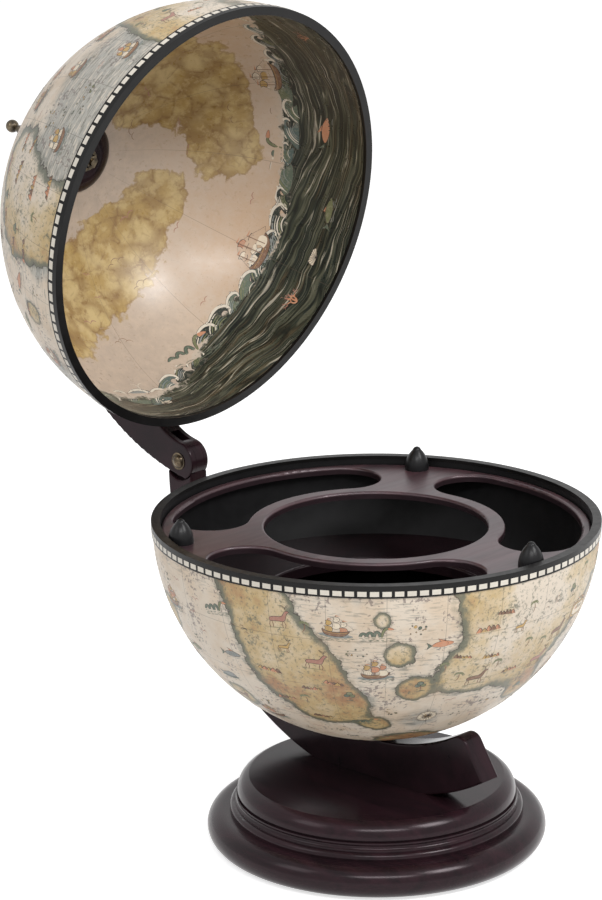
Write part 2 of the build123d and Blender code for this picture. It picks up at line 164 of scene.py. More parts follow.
def between(tree, value, low, high, kind="SMOOTHSTEP"):
    return addNode(tree, "ShaderNodeMapRange", {
        "Value": value, "From Min": low, "From Max": high}, interpolation_type=kind).outputs[0]


def attribute(tree, name, output="Fac"):
    return addNode(tree, "ShaderNodeAttribute", attribute_name=name).outputs[output]


def setRoughness(tree, shader, cloud, low, high, places=(0.3, 0.7)):
    tree.links.new(ramp(tree, cloud, [(places[0], low), (places[1], high)]), shader.inputs["Roughness"])


def addBump(tree, shader, height, strength, distance):
    bump = addNode(tree, "ShaderNodeBump", dict(Height=height, Strength=strength, Distance=distance))
    tree.links.new(bump.outputs["Normal"], shader.inputs["Normal"])


# finishes: every cloud is a noise, given as its scale, detail, roughness and distortion

wood = dict(
    figure=(1.3, 5, 0.6, 0.6), figureShare=0.7,
    pores=(9.0, 4, 0.65), poreShare=0.3,
    darkAt=0.36, redAt=0.66,
    edgeStart=0.0014, edgeFull=0.0026,    # how far below a board's top face its colour turns dark
    varnishTint=(1.0, 0.88, 0.92), sheen=(3.0, 3), sheenSpread=0.12,
    bump=(0.015, 0.0003),
)
mahogany = dict(dark=(0.0080, 0.0045, 0.0058), red=(0.0240, 0.0092, 0.0130), roughness=0.21, specular=0.20)
stainedTray = dict(dark=(0.0190, 0.0105, 0.0130), red=(0.0600, 0.0270, 0.0320), roughness=0.34, specular=0.60)
# painted shade: a darker copy of the mahogany for the rack board and the tray's cleats, which sit down inside
# the bowl
shadedRack = dict(mahogany, red=(0.0130, 0.0062, 0.0075), specular=0.4)


def woodMaterial(name, grain, stain, top=None):
    material, tree, shader = newMaterial(name)
    point = objectPoint(tree, grain)
    pores = noise(tree, point, *wood["pores"])
    streak = plus(
        tree, times(tree, noise(tree, point, *wood["figure"]), wood["figureShare"]), pores, wood["poreShare"])
    colour = ramp(tree, streak, [(wood["darkAt"], stain["dark"]), (wood["redAt"], stain["red"])])
    if top is not None:
        # below its top face the board's colour turns darker
        level = separate(tree, objectPoint(tree))[2]
        cut = between(tree, level, top - wood["edgeStart"], top - wood["edgeFull"])
        colour = blendColour(tree, cut, colour, stain["dark"])
    tree.links.new(colour, shader.inputs["Base Color"])
    rough, spread = stain["roughness"], wood["sheenSpread"]
    setRoughness(tree, shader, noise(tree, point, *wood["sheen"]), rough * (1 - spread), rough * (1 + spread))
    shader.inputs["Specular IOR Level"].default_value = stain["specular"]
    shader.inputs["Specular Tint"].default_value = (*wood["varnishTint"], 1)
    addBump(tree, shader, pores, *wood["bump"])
    return material


plinthWood = woodMaterial("plinthMahogany", (60, 7, 60), mahogany)
armWood = woodMaterial("armMahogany", (60, 9, 9), dict(mahogany, specular=0.16))
trayWood = woodMaterial("trayStain", (8, 60, 60), stainedTray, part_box("tray")[1].z)
# the rack's wood carries painted shade
rackWoodPaintedShade = woodMaterial("rackMahoganyPaintedShade", (8, 60, 60), shadedRack)


lacquer = dict(cloud=(45, 4), sheen=(160, 3), sheenSpread=0.15, tooth=(700, 2), bump=(0.04, 0.0002))


def lacquerMaterial(name, colour, roughness, specular, speckle=0.25):
    material, tree, shader = newMaterial(name)
    point = objectPoint(tree)
    low = tuple(channel * (1 - speckle) for channel in colour)
    high = tuple(channel * (1 + speckle) for channel in colour)
    cloud = noise(tree, point, *lacquer["cloud"])
    tree.links.new(ramp(tree, cloud, [(0.3, low), (0.7, high)]), shader.inputs["Base Color"])
    sheen, spread = noise(tree, point, *lacquer["sheen"]), lacquer["sheenSpread"]
    setRoughness(tree, shader, sheen, roughness * (1 - spread), roughness * (1 + spread))
    shader.inputs["Specular IOR Level"].default_value = specular
    addBump(tree, shader, noise(tree, point, *lacquer["tooth"]), *lacquer["bump"])
    return material


blackLacquer = lacquerMaterial("blackLacquer", (0.0062, 0.0060, 0.0064), 0.42, 0.2)
rimLacquer = lacquerMaterial("rimLacquer", (0.0050, 0.0045, 0.0044), 0.36, 0.20)
knobLacquer = lacquerMaterial("knobLacquer", (0.0070, 0.0068, 0.0075), 0.34, 0.22)
checkPaint = lacquerMaterial("checkPaint", (0.62, 0.575, 0.50), 0.4, 0.4, 0.08)
feltCloth = lacquerMaterial("feltCloth", (0.012, 0.02, 0.012), 0.95, 0.1)


metal = dict(
    patches=(220, 5, 0.6), tarnishAt=0.38, brightAt=0.62, dull=1.3, bright=0.8, sheenPlaces=(0.35, 0.65),
    tooth=(900, 2), bump=(0.05, 0.0002),
)


def metalMaterial(name, colour, tarnish, roughness):
    material, tree, shader = newMaterial(name)
    point = objectPoint(tree)
    patchy = noise(tree, point, *metal["patches"])
    tone = ramp(tree, patchy, [(metal["tarnishAt"], tarnish), (metal["brightAt"], colour)])
    tree.links.new(tone, shader.inputs["Base Color"])
    dull, bright = roughness * metal["dull"], roughness * metal["bright"]
    setRoughness(tree, shader, patchy, dull, bright, metal["sheenPlaces"])
    shader.inputs["Metallic"].default_value = 1.0
    addBump(tree, shader, noise(tree, point, *metal["tooth"]), *metal["bump"])
    return material


pinBrass = metalMaterial("pinBrass", (0.155, 0.120, 0.080), (0.034, 0.026, 0.019), 0.24)
agedBrass = metalMaterial("agedBrass", (0.17, 0.135, 0.09), (0.05, 0.042, 0.034), 0.3)
screwSteel = metalMaterial("screwSteel", (0.5, 0.5, 0.5), (0.3, 0.3, 0.3), 0.35)


def dress(material, *nodes):
    for name in nodes:
        mesh = frame["nodes"][name].data
        mesh.materials.clear()
        mesh.materials.append(material)
        for polygon in mesh.polygons:
            polygon.material_index = 0


dress(plinthWood, "plinth")
dress(armWood, "lower_arm", "upper_arm", "bowl_spacer", "lid_spacer", "bowl_boss", "lid_boss")
dress(trayWood, "tray")
dress(rackWoodPaintedShade, "rack_board", "tray_cleats")
dress(blackLacquer, "bowl_shell", "lid_shell")
dress(rimLacquer, "bowl_rim_ring", "lid_rim_ring")
dress(knobLacquer, "tray_knob_right", "tray_knob_left", "tray_knob_front")
dress(feltCloth, "base_felt")
dress(pinBrass, "hinge_pin", "hinge_washers", "hinge_cap_nut", "bowl_bolt", "bowl_washer", "arm_insert")
dress(agedBrass, "pole_finial", "pole_washer", "pole_nut", "pole_stud")
dress(screwSteel, "plinth_screws", "plinth_washers", "knob_screws")
print("stage: plain finishes laid on the CAD nodes")


# the ball as a sheet to paint on

def lonLat(units):
    lon = np.degrees(np.arctan2(units[:, 1], units[:, 0])) % 360
    lat = np.degrees(np.arcsin(np.clip(units[:, 2], -1, 1)))
    return lon, lat


def unitVector(lon, lat):
    a, b = math.radians(lon), math.radians(lat)
    return np.array((math.cos(b) * math.cos(a), math.cos(b) * math.sin(a), math.sin(b)))


def degreesApart(here, there):
    return np.degrees(np.arccos(np.clip(here @ there, -1, 1)))


def waves(units, base, octaves, seed, count=16, fade=0.55, spread=1.5):
    random = np.random.default_rng(seed)
    total = np.zeros(len(units))
    weight = 1.0
    for octave in range(octaves):
        ways = random.normal(size=(count, 3))
        ways *= base * 2**octave / np.linalg.norm(ways, axis=1)[:, None]
        phases = random.uniform(0, 2 * math.pi, count)
        total += weight * np.sin(units @ ways.T + phases).sum(axis=1) / math.sqrt(count)
        weight *= fade
    return total / spread


def patches(units, spots, softness=0.7):
    field = np.zeros(len(units))
    for lon, lat, reach in spots:
        field += np.exp(-softness * (degreesApart(units, unitVector(lon, lat)) / reach) ** 2)
    return field


def hump(lon, middle, reach):
    apart = (lon - middle + 180) % 360 - 180
    return np.exp(-((apart / reach) ** 2))


# spots are longitude, latitude and reach in degrees
landSpots = [
    (194, -15, 11), (203, -28, 9), (187, 2, 9), (183, 17, 11), (196, 28, 10), (206, -40, 6),
    (259, -12, 12), (268, -25, 10), (252, 6, 10), (264, 22, 12), (277, 36, 10), (249, -27, 6),
    (18, 10, 17), (34, -9, 12), (4, 26, 12), (50, 20, 10), (60, -21, 8), (28, -30, 10),
    (100, 31, 12), (113, 14, 10), (121, -13, 9), (95, -36, 10), (322, -16, 11), (331, 6, 10),
    (314, 29, 9), (341, -38, 7), (228, -19, 3.6), (233, -31, 3.2), (224, -9, 2.6), (150, -20, 5),
    (158, 12, 4), (300, -6, 3), (292, -47, 5), (170, -42, 5), (76, -5, 4), (141, 39, 5),
    (236, -63, 7), (251, -67, 6), (120, -74, 8), (60, 76, 12), (206, 70, 9), (222, -47, 3),
    (284, -10, 10), (276, -40, 5), (212, -38, 4), (42, 40, 10), (22, 48, 9), (70, 10, 9),
    (48, -14, 10), (106, -18, 9), (128, 22, 9), (88, 42, 9), (340, 22, 10), (352, -12, 9),
]
washSpots = [
    (215, 11, 13), (236, 12, 12), (196, 12, 9), (176, 8, 6), (216, -35, 5), (238, -45, 6),
    (140, 8, 10), (85, 12, 9), (30, -50, 10), (300, -30, 8), (355, 40, 9),
]
goldSpots = [
    (300, 56, 10), (322, 50, 10), (342, 46, 9), (280, 52, 9), (0, 44, 7), (262, 44, 9), (318, 66, 7),
    (78, 58, 9), (100, 50, 10), (120, 40, 10), (52, 60, 8), (140, 34, 9), (24, 60, 6), (200, 40, 12),
    (225, 34, 10), (168, 50, 8),
]

# waves are their base, octaves and seed, with how far they push a field
mapFields = dict(coast=(5, 5, 3), coastPush=0.22, wash=(9, 4, 5), washPush=0.22, hue=(6, 3, 11), busy=(5, 3, 21))
skyFields = dict(
    swell=(7, 3, 31), swellPush=1.8, gold=(8, 3, 43), goldPush=0.15, rosy=(3, 2, 47),
    roll=(3.2, 2, 37), rollPush=5.5, chop=(17, 2, 41), chopPush=0.9, driftRound=2.4,
    seaLevel=9, banks=((350, 46, 18), (58, 32, 13), (300, 24, 8), (120, 20, 3)),    # middle, reach, height
)


def landField(units):
    return patches(units, landSpots) + mapFields["coastPush"] * waves(units, *mapFields["coast"])


def paintMap(units):
    return dict(
        land=landField(units),
        hue=waves(units, *mapFields["hue"]),
        wash=patches(units, washSpots) + mapFields["washPush"] * waves(units, *mapFields["wash"]),
        busy=waves(units, *mapFields["busy"]),
    )


def seaTop(lon):
    level = skyFields["seaLevel"]
    for middle, reach, height in skyFields["banks"]:
        level = level + height * hump(lon, middle, reach)
    return level


def driftField(units, lon, lat):
    turn, reach = np.radians(lon), skyFields["driftRound"]
    rolled = lat + skyFields["rollPush"] * waves(units, *skyFields["roll"])
    height = rolled + skyFields["chopPush"] * np.abs(waves(units, *skyFields["chop"]))
    return np.stack([reach * np.cos(turn), reach * np.sin(turn), height], -1)


def paintSky(units):
    lon, lat = lonLat(units)
    swell = skyFields["swellPush"] * waves(units, *skyFields["swell"])
    return dict(
        sea=seaTop(lon) + swell - lat,
        drift=driftField(units, lon, lat),
        gold=patches(units, goldSpots) + skyFields["goldPush"] * waves(units, *skyFields["gold"]),
        rosy=waves(units, *skyFields["rosy"]),
    )


def meshPiece(name, points, faces, place):
    mesh = bpy.data.meshes.new(name)
    mesh.from_pydata([tuple(p) for p in points], [], faces)
    mesh.transform(place)
    mesh.shade_smooth()
    mesh.set_sharp_from_angle(angle=math.radians(35))
    piece = bpy.data.objects.new(name, mesh)
    bpy.context.scene.collection.objects.link(piece)
    return piece


# curves and small shapes, in millimetres on the paper

def bow(a, b, lift, count=8):
    a, b = np.array(a, float), np.array(b, float)
    across = np.array((a[1] - b[1], b[0] - a[0])) / (np.linalg.norm(b - a) + 1e-9)
    return [tuple(a + (b - a) * t + across * lift * 4 * t * (1 - t)) for t in np.linspace(0, 1, count)]


def oval(x, y, rx, ry, count=14, start=0, sweep=360):
    turns = np.radians(start + np.linspace(0, sweep, count, endpoint=sweep < 360))
    return [(x + rx * math.cos(t), y + ry * math.sin(t)) for t in turns]


def rounded(points, closed=True, rounds=2):
    line = [np.array(p, float) for p in points]
    for _ in range(rounds):
        pairs = list(zip(line, line[1:] + line[:1])) if closed else list(zip(line, line[1:]))
        cut = [q for a, b in pairs for q in (a * 0.75 + b * 0.25, a * 0.25 + b * 0.75)]
        line = cut if closed else [line[0]] + cut + [line[-1]]
    return [tuple(p) for p in line]


ink = dict(
    line=(0.030, 0.023, 0.021), faint=(0.25, 0.19, 0.155), green=(0.105, 0.135, 0.098),
    moss=(0.16, 0.17, 0.085), slate=(0.23, 0.245, 0.235), salmon=(0.52, 0.235, 0.13),
    ochre=(0.47, 0.30, 0.105), cream=(0.72, 0.62, 0.48), brown=(0.20, 0.105, 0.060),
    deep=(0.020, 0.027, 0.021), rose=(0.36, 0.17, 0.125), teal=(0.085, 0.125, 0.115), foam=(0.66, 0.60, 0.50),
)


def stroke(points, width, colour="line", taper=True):
    return ("stroke", points, width, ink[colour], taper)


def fill(points, colour):
    return ("fill", points, 0, ink[colour], False)


def outlined(points, colour, width=0.28, edge="line"):
    return [fill(points, colour), stroke(list(points) + [points[0]], width, edge, False)]


def water(random, reach, rows=4, colour="green"):
    marks = []
    for row in range(rows):
        y = -1.6 - row * 1.15
        x = -reach + random.uniform(0, 3)
        while x < reach:
            length = random.uniform(1.6, 4.2)
            end = (x + length, y + random.uniform(-0.2, 0.2))
            marks.append(stroke(bow((x, y), end, random.uniform(-0.4, 0.4), 5), 0.34, colour))
            x += length + random.uniform(0.5, 2.2)
    return marks


def sail(x, y, width, height, colour, belly):
    foot = y - height
    edge = bow((x - width / 2, y), (x + width / 2, y), 0.2, 5)
    edge += bow((x + width / 2, y), (x + width * 0.62, foot), belly, 6)
    edge += bow((x + width * 0.62, foot), (x - width / 2, foot), 0.9, 6)
    edge += bow((x - width / 2, foot), (x - width / 2, y), -belly * 0.8, 6)
    marks = outlined(edge, colour, 0.25)
    for k in (-1, 0, 1):
        top, low = (x + k * width * 0.25, y - 0.4), (x + k * width * 0.3 + belly / 2, foot + 0.3)
        marks.append(stroke(bow(top, low, belly / 2, 5), 0.16, "faint"))
    return marks


def ship(random):
    wake = [(-13, -1), (-7, -2.6), (0, -3.4), (9, -2.4), (14, -1.2), (9, 0.5), (-8, 0.6)]
    marks = [fill(rounded(wake), "slate")]
    marks += water(random, 12)
    for x, top in ((-5.2, 10.5), (0.2, 13.5), (5.4, 10.0)):
        marks.append(stroke([(x, 0.5), (x, top + 1.6)], 0.4, "brown", False))
        for level, share in ((top, 0.75), (top - 4.6, 1.0)):
            colour = random.choice(["cream", "cream", "salmon", "ochre"])
            marks += sail(x, level, 4.8 * share, 3.9 * share, colour, 0.9)
        marks.append(fill([(x, top + 1.7), (x + 3.4, top + 1.1), (x, top + 0.8)], "salmon"))
    hull = [
        (-9.5, 4.2), (-8.6, 0.8), (-6.2, -1.2), (0, -1.9), (6, -1.4), (8.8, 0.6), (11.2, 4.0), (7.6, 2.4),
        (0, 1.6), (-6.0, 2.1),
    ]
    marks += outlined(rounded(hull), "brown", 0.34)
    marks.append(stroke(bow((-8, 1.5), (9, 1.9), -0.8), 0.22, "ochre", False))
    rigging = [(-9, 3.8), (-5.2, 11.6), (0.2, 14.2), (5.4, 11), (13.5, 4.6)]
    marks += [stroke([a, b], 0.13, "line", False) for a, b in zip(rigging, rigging[1:])]
    return marks + [stroke([(11, 3.4), (13.5, 4.8)], 0.13, "line", False)]


def mountain(random):
    marks = []
    for x in np.arange(-5, 6, 2.7):
        h, w = random.uniform(2.2, 4.2), random.uniform(1.7, 2.5)
        ridge = [(x - w, 0), (x - w * 0.5, h * 0.55), (x, h), (x + w * 0.45, h * 0.6), (x + w, 0)]
        ridge = rounded(ridge, False, 1)
        marks.append(fill(ridge, random.choice(["ochre", "brown", "salmon"])))
        marks.append(stroke(ridge, 0.34))
        for k in range(3):
            top = (x + 0.2 + k * 0.5, h * 0.8 - k * h * 0.22)
            marks.append(stroke([top, (x + 0.5 + k * 0.55, 0.2)], 0.2))
    return marks


def leafyTree(random):
    marks = [stroke([(0, 0), (0.3, 2.6), (0, 4.4)], 0.6, "brown")]
    for x, y, r in ((-1.4, 4.4, 1.5), (1.5, 4.6, 1.4), (0, 6.2, 1.7)):
        marks += outlined(oval(x, y, r, r * 0.8, 10), random.choice(["green", "moss"]), 0.22)
    marks.append(stroke(bow((-2.2, 0), (2.6, 0.1), 0.3, 5), 0.4, "green"))
    return marks


def palm(random):
    x, y = 0.9, 7.6
    marks = [stroke(bow((0, 0), (x, y), -1.1), 0.6, "brown")]
    for turn in range(-30, 211, 30):
        a = math.radians(turn)
        tip = (x + 4 * math.cos(a), y + 2.4 * math.sin(a) - 0.9)
        marks.append(stroke(bow((x, y), tip, 0.9 if turn < 90 else -0.9, 6), 0.6, "moss"))
    return marks


def stag(random):
    body = [
        (-4.4, 3.4), (-4.6, 5.6), (-1.2, 6.2), (2.2, 6.0), (3.8, 8.6), (5.0, 9.4), (6.6, 8.6), (5.0, 7.8),
        (4.2, 5.2), (3.2, 3.4), (-0.6, 3.8),
    ]
    marks = outlined(rounded(body), random.choice(["brown", "rose", "ochre"]), 0.26)
    for x, k in ((-4, -0.7), (-3.2, 0.5), (2.4, -0.3), (3.1, 0.8)):
        marks.append(stroke([(x, 3.6), (x + k, 1.8), (x + 0.3 * k, 0)], 0.45, "brown"))
    for k in (-1, 1):
        marks.append(stroke(bow((4.6, 9.2), (4.2 + k * 1.6, 12.2), 0.6 * k, 6), 0.26))
        marks += [stroke([(4.3 + k * s, 10 + s), (4.3 + k * s + 0.9 * k, 11 + s)], 0.2) for s in (0.5, 1.1)]
    marks.append(stroke(bow((-6, 0), (5, 0), 0.3, 6), 0.3, "moss"))
    return marks


def fish(random):
    body = [(-7, 0), (-3.6, 2.0), (1.5, 2.4), (5.5, 0.9), (7.2, -0.1), (5.2, -1.1), (1.2, -1.9), (-3.8, -1.4)]
    marks = water(random, 7, 2, "slate")
    marks += outlined(rounded(body), random.choice(["slate", "moss", "salmon"]), 0.28)
    marks += outlined([(-6.4, 0), (-9.6, 2.8), (-8.6, 0.2), (-9.8, -2.2)], "green", 0.24)
    marks += outlined([(-1, 2.2), (-2.6, 4.4), (2.2, 2.3)], "salmon", 0.22)
    marks += [stroke(oval(x, 0.2, 0.9, 1.4, 6, -70, 140), 0.16) for x in (-3, -1.2, 0.6, 2.4)]
    marks.append(fill(oval(5.3, 0.5, 0.3, 0.3, 6), "line"))
    return marks


def whale(random):
    body = [
        (-10, 3.8), (-8.4, 1.4), (-4, 2.6), (2, 4.2), (7, 3.6), (10, 0.8), (9, -1.6), (3, -2.2), (-4, -1.0),
        (-8, 0.2), (-11.6, 1.4),
    ]
    marks = [fill(rounded([(-13, -2), (-6, -3.2), (4, -3.4), (13, -2), (8, 0), (-8, 0)]), "teal")]
    marks += outlined(rounded(body), "slate", 0.34)
    marks += [stroke(bow((3 + k, -2), (9.4 - k * 0.3, -0.8 - k * 0.3), 0.3, 6), 0.18) for k in range(3)]
    marks += [stroke(bow((4.5, 4), (4.5 + k * 3.6, 8.6), 1.6 * k, 8), 0.4, "foam") for k in (-1, 1)]
    marks.append(fill(oval(6.8, 1.2, 0.4, 0.4, 6), "line"))
    return marks + water(random, 11, 3)


def serpent(random):
    marks = []
    for x, h in ((-8, 2.6), (-3.4, 3.6), (1.6, 4.2)):
        loop = oval(x, -0.4, 2.1, h, 12, 0, 180)
        marks.append(stroke(loop, 1.9, "line", False))
        marks.append(stroke(loop, 1.4, "green", False))
    neck = rounded([(4.8, -0.6), (5.6, 4), (7.6, 6.6), (9.8, 6.2)], False)
    marks += [stroke(neck, 1.9, "line"), stroke(neck, 1.4, "moss")]
    marks += outlined(rounded([(9, 7.4), (12, 6.8), (13.6, 5.6), (11.4, 5.4), (9.2, 5.2)]), "salmon", 0.26)
    return marks + water(random, 11, 3)


def compassRose(random):
    reach = 11.0
    marks = [fill(oval(0, 0, reach * 0.62, reach * 0.62, 36), "cream")]
    for ring, width in ((0.62, 0.3), (0.56, 0.18), (0.3, 0.22)):
        circle = oval(0, 0, reach * ring, reach * ring, 36)
        marks.append(stroke(circle + circle[:1], width, "line", False))
    for point in range(16):
        long = (1.0, 0.52, 0.7, 0.52)[point % 4]
        a = math.radians(point * 22.5)
        tip = (reach * long * math.cos(a), reach * long * math.sin(a))
        for side, colour in ((-1, "line"), (1, "ochre" if point % 4 else "salmon")):
            b = a + side * math.radians(11.25)
            root = (reach * 0.16 * math.cos(b), reach * 0.16 * math.sin(b))
            marks += outlined([(0, 0), root, tip], colour, 0.14)
    return marks


def gull(random):
    return [stroke(bow((0, 0), (k * 3.2, 0.7), k * 0.9, 7), 0.45, "rose") for k in (-1, 1)]


def islets(random):
    marks = []
    for _ in range(9):
        x, y, r = random.normal(0, 3.2), random.normal(0, 2.4), random.uniform(0.3, 0.95)
        blob = [
            (x + r * random.uniform(0.7, 1.3) * math.cos(t), y + r * random.uniform(0.6, 1.2) * math.sin(t))
            for t in np.arange(0, 6.2, 0.9)
        ]
        marks += outlined(rounded(blob, True, 1), random.choice(["moss", "ochre", "green"]), 0.2)
    return marks


def hills(random):
    marks = []
    for _ in range(7):
        x, y, w = random.normal(0, 4.5), random.normal(0, 2.2), random.uniform(1.0, 2.0)
        marks.append(stroke(bow((x - w, y), (x + w, y), w * 0.5, 6), 0.3, random.choice(["line", "brown"])))
        marks.append(stroke([(x + w * 0.3, y + w * 0.4), (x + w * 0.5, y)], 0.2))
    return marks


def coral(random):
    marks = []

    def branch(x, y, a, length, depth):
        tip = (x + length * math.cos(a), y + length * math.sin(a))
        bent = bow((x, y), tip, random.uniform(-0.3, 0.3) * length, 5)
        marks.append(stroke(bent, 0.25 + 0.22 * depth, "salmon" if depth > 1 else "rose"))
        if depth:
            for side in (-1, 1):
                way = a + side * random.uniform(0.3, 0.7)
                branch(*tip, way, length * random.uniform(0.6, 0.85), depth - 1)

    for lean in (-0.5, 0.0, 0.5):
        branch(0, 0, math.pi / 2 + lean, random.uniform(2.6, 3.6), 3)
    return marks


def shellFan(random):
    fan = [(0, 0)] + oval(0, 0.4, 4.2, 4.6, 13, 10, 160)
    marks = outlined(fan, random.choice(["salmon", "cream", "ochre"]), 0.34)
    for a in np.radians(np.arange(25, 160, 18)):
        marks.append(stroke([(0, 0), (4.0 * math.cos(a), 0.4 + 4.4 * math.sin(a))], 0.22))
    return marks


def crest(random):
    wave = [
        (-10, -3), (-6.5, 0.8), (-2, 4.4), (3.2, 6.2), (7.2, 5.0), (8.2, 2.6), (6.6, 0.8), (6.8, 2.6),
        (5.0, 3.6), (2.8, 2.2), (3.4, -0.4), (8, -3), (2, -5), (-5, -4.6),
    ]
    marks = outlined(rounded(wave), random.choice(["deep", "teal", "green"]), 0.3)
    lip = rounded([(-3.4, 3.6), (0.6, 5.9), (4.4, 6.6), (7.6, 5.2), (8.6, 2.8), (7.0, 1.0)], False)
    marks += [stroke(lip, 1.9, "line"), stroke(lip, 1.5, "foam")]
    for _ in range(3):
        x, y = lip[random.integers(len(lip))]
        r = random.uniform(0.35, 0.7)
        x, y = x + random.uniform(-0.6, 1.6), y + random.uniform(0.2, 1.2)
        marks += outlined(oval(x, y, r, r * 0.8, 8), "foam", 0.18)
    for k in range(5):
        colour = random.choice(["foam", "moss", "slate", "green"])
        back = bow((-7.4 + k * 1.3, -3), (1.6 + k * 0.7, 4.6 - k * 1.2), 1.4, 9)
        marks.append(stroke(back, random.uniform(0.3, 0.8), colour))
    return marks


def puff(random):
    marks = []
    for x, y, r in ((-3.4, 0, 2.0), (0, 1.1, 2.7), (3.6, 0.2, 2.2)):
        marks.append(stroke(oval(x, y, r, r * 0.8, 9, 15, 150), 0.3, "brown"))
    return marks


def scroll(random):
    edge = rounded([
        (-12, -5), (-13.5, 0), (-12, 5), (-6, 6.4), (0, 5.6), (6, 6.4), (12, 5), (13.5, 0), (12, -5),
        (6, -6.4), (0, -5.6), (-6, -6.4),
    ])
    marks = outlined(edge, "ochre", 0.4)
    marks += outlined([(x * 0.8, y * 0.72) for x, y in edge], "cream", 0.3)
    for x, y in ((-1, -1), (-1, 1), (1, -1), (1, 1)):
        curl = []
        for t in np.linspace(0, 7.5, 16):
            r = 2.2 * (1 - t / 9)
            curl.append((x * (12 + r * math.cos(t)), y * (5.4 + r * math.sin(t))))
        marks.append(stroke(curl, 0.7, "brown"))
    for k in range(9):
        a = math.radians(20 + 17.5 * k)
        fruit = oval(7.4 * math.cos(a), 6.4 + 2.6 * math.sin(a), 1.2, 1.1, 8)
        marks += outlined(fruit, ("salmon", "moss", "ochre")[k % 3], 0.2)
    return marks + mountain(random)


# laying the drawings on a sphere

inkLaid = dict(
    rise=0.00005, step=0.000012, steps=9,    # marks lie in thin steps above the paper
    pitch=0.0035,                            # spacing of the points inside a large fill
    spread=1.25, thinEnd=0.25,
)


def addMark(sheet, mark, axes, radius, level, rise):
    kind, points, width, colour, taper = mark
    centre, east, north = axes
    flat = np.array(points, float) / 1000

    def onBall(local):
        far = np.linalg.norm(local, axis=1)
        ways = local[:, :1] * east + local[:, 1:] * north
        ways /= np.maximum(far, 1e-9)[:, None]
        angle = far / radius
        units = np.cos(angle)[:, None] * centre + np.sin(angle)[:, None] * ways
        return units * (radius + rise * level)

    if kind == "fill":
        pitch = inkLaid["pitch"]
        inner = []
        if (flat.max(axis=0) - flat.min(axis=0)).max() > 2 * pitch:
            across, along = (np.arange(flat[:, k].min() + pitch / 2, flat[:, k].max(), pitch) for k in (0, 1))
            inner = [(x, y) for x in across for y in along]
        border = [(k, (k + 1) % len(flat)) for k in range(len(flat))]
        laid = delaunay_2d_cdt([Vector(p) for p in [*flat, *inner]], border, [], 1, 1e-7)
        faces = laid[2]
        if not len(faces):
            return
        solid = onBall(np.array([tuple(v) for v in laid[0]]))
    else:
        line = onBall(flat)
        count = len(line)
        side = np.cross(line, np.gradient(line, axis=0))
        side /= np.maximum(np.linalg.norm(side, axis=1), 1e-12)[:, None]
        half = np.full(count, width / 2000)
        if taper:
            thin = inkLaid["thinEnd"]
            half = half * (thin + (1 - thin) * np.sin(np.pi * (np.arange(count) + 0.6) / (count + 0.2)))
        solid = np.concatenate([line - side * half[:, None], line + side * half[:, None]])
        faces = [(k, k + 1, count + k + 1, count + k) for k in range(count - 1)]
    base = len(sheet["points"])
    for face in faces:
        a, b, c = (solid[k] for k in face[:3])
        outward = np.dot(np.cross(b - a, c - a), a) * rise
        order = face if outward > 0 else tuple(reversed(face))
        sheet["faces"].append([base + k for k in order])
    sheet["points"] += solid.tolist()
    sheet["colours"] += [(*colour, 1.0)] * len(solid)


def stamp(sheet, marks, lon, lat, radius, size=1.0, turn=0.0, inside=False):
    centre = unitVector(lon, lat)
    east = np.cross((0, 0, 1), centre)
    east /= np.linalg.norm(east)
    north = np.cross(centre, east)
    if inside:
        east = -east
    a = math.radians(turn)
    axes = (centre, east * math.cos(a) + north * math.sin(a), -east * math.sin(a) + north * math.cos(a))
    for index, (kind, points, width, colour, taper) in enumerate(marks):
        scaled = [(x * size, y * size) for x, y in points]
        level = inkLaid["rise"] + inkLaid["step"] * (index % inkLaid["steps"])
        mark = (kind, scaled, width * inkLaid["spread"] * size**0.5, colour, taper)
        addMark(sheet, mark, axes, radius, level, -1 if inside else 1)


def newSheet():
    return dict(points=[], faces=[], colours=[])


def inkPiece(name, sheet, place, body):
    piece = meshPiece(name, sheet["points"], sheet["faces"], place)
    layer = piece.data.color_attributes.new("inkColour", "FLOAT_COLOR", "POINT")
    layer.data.foreach_set("color", np.array(sheet["colours"], np.float32).ravel())
    piece.data.materials.append(inkPaint)
    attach(piece, body)
    return piece


# node-built pieces

def newTree(name, sizes):
    tree = bpy.data.node_groups.new(name, "GeometryNodeTree")
    tree.interface.new_socket("Geometry", in_out="INPUT", socket_type="NodeSocketGeometry")
    tree.interface.new_socket("Geometry", in_out="OUTPUT", socket_type="NodeSocketGeometry")
    for label, kind in sizes.items():
        tree.interface.new_socket(label, in_out="INPUT", socket_type="NodeSocket" + kind)
    return tree, addNode(tree, "NodeGroupInput").outputs


def finishTree(tree, geometry, material):
    real = addNode(tree, "GeometryNodeRealizeInstances", dict(Geometry=geometry))
    painted = addNode(tree, "GeometryNodeSetMaterial", dict(Geometry=real.outputs[0], Material=material))
    result = addNode(tree, "NodeGroupOutput")
    tree.links.new(painted.outputs[0], result.inputs[0])


def grownPiece(name, tree, values, place):
    seed = bpy.data.objects.new(name + "Seed", bpy.data.meshes.new(name + "Seed"))
    bpy.context.scene.collection.objects.link(seed)
    modifier = seed.modifiers.new(name, "NODES")
    modifier.node_group = tree
    for item in tree.interface.items_tree:
        if item.in_out == "INPUT" and item.name in values:
            modifier[item.identifier] = values[item.name]
    seed.data.update()
    graph = bpy.context.evaluated_depsgraph_get()
    mesh = bpy.data.meshes.new_from_object(seed.evaluated_get(graph))
    mesh.name = name
    seed.modifiers.remove(modifier)
    bpy.data.objects.remove(seed)
    mesh.transform(place)
    piece = bpy.data.objects.new(name, mesh)
    bpy.context.scene.collection.objects.link(piece)
    return piece


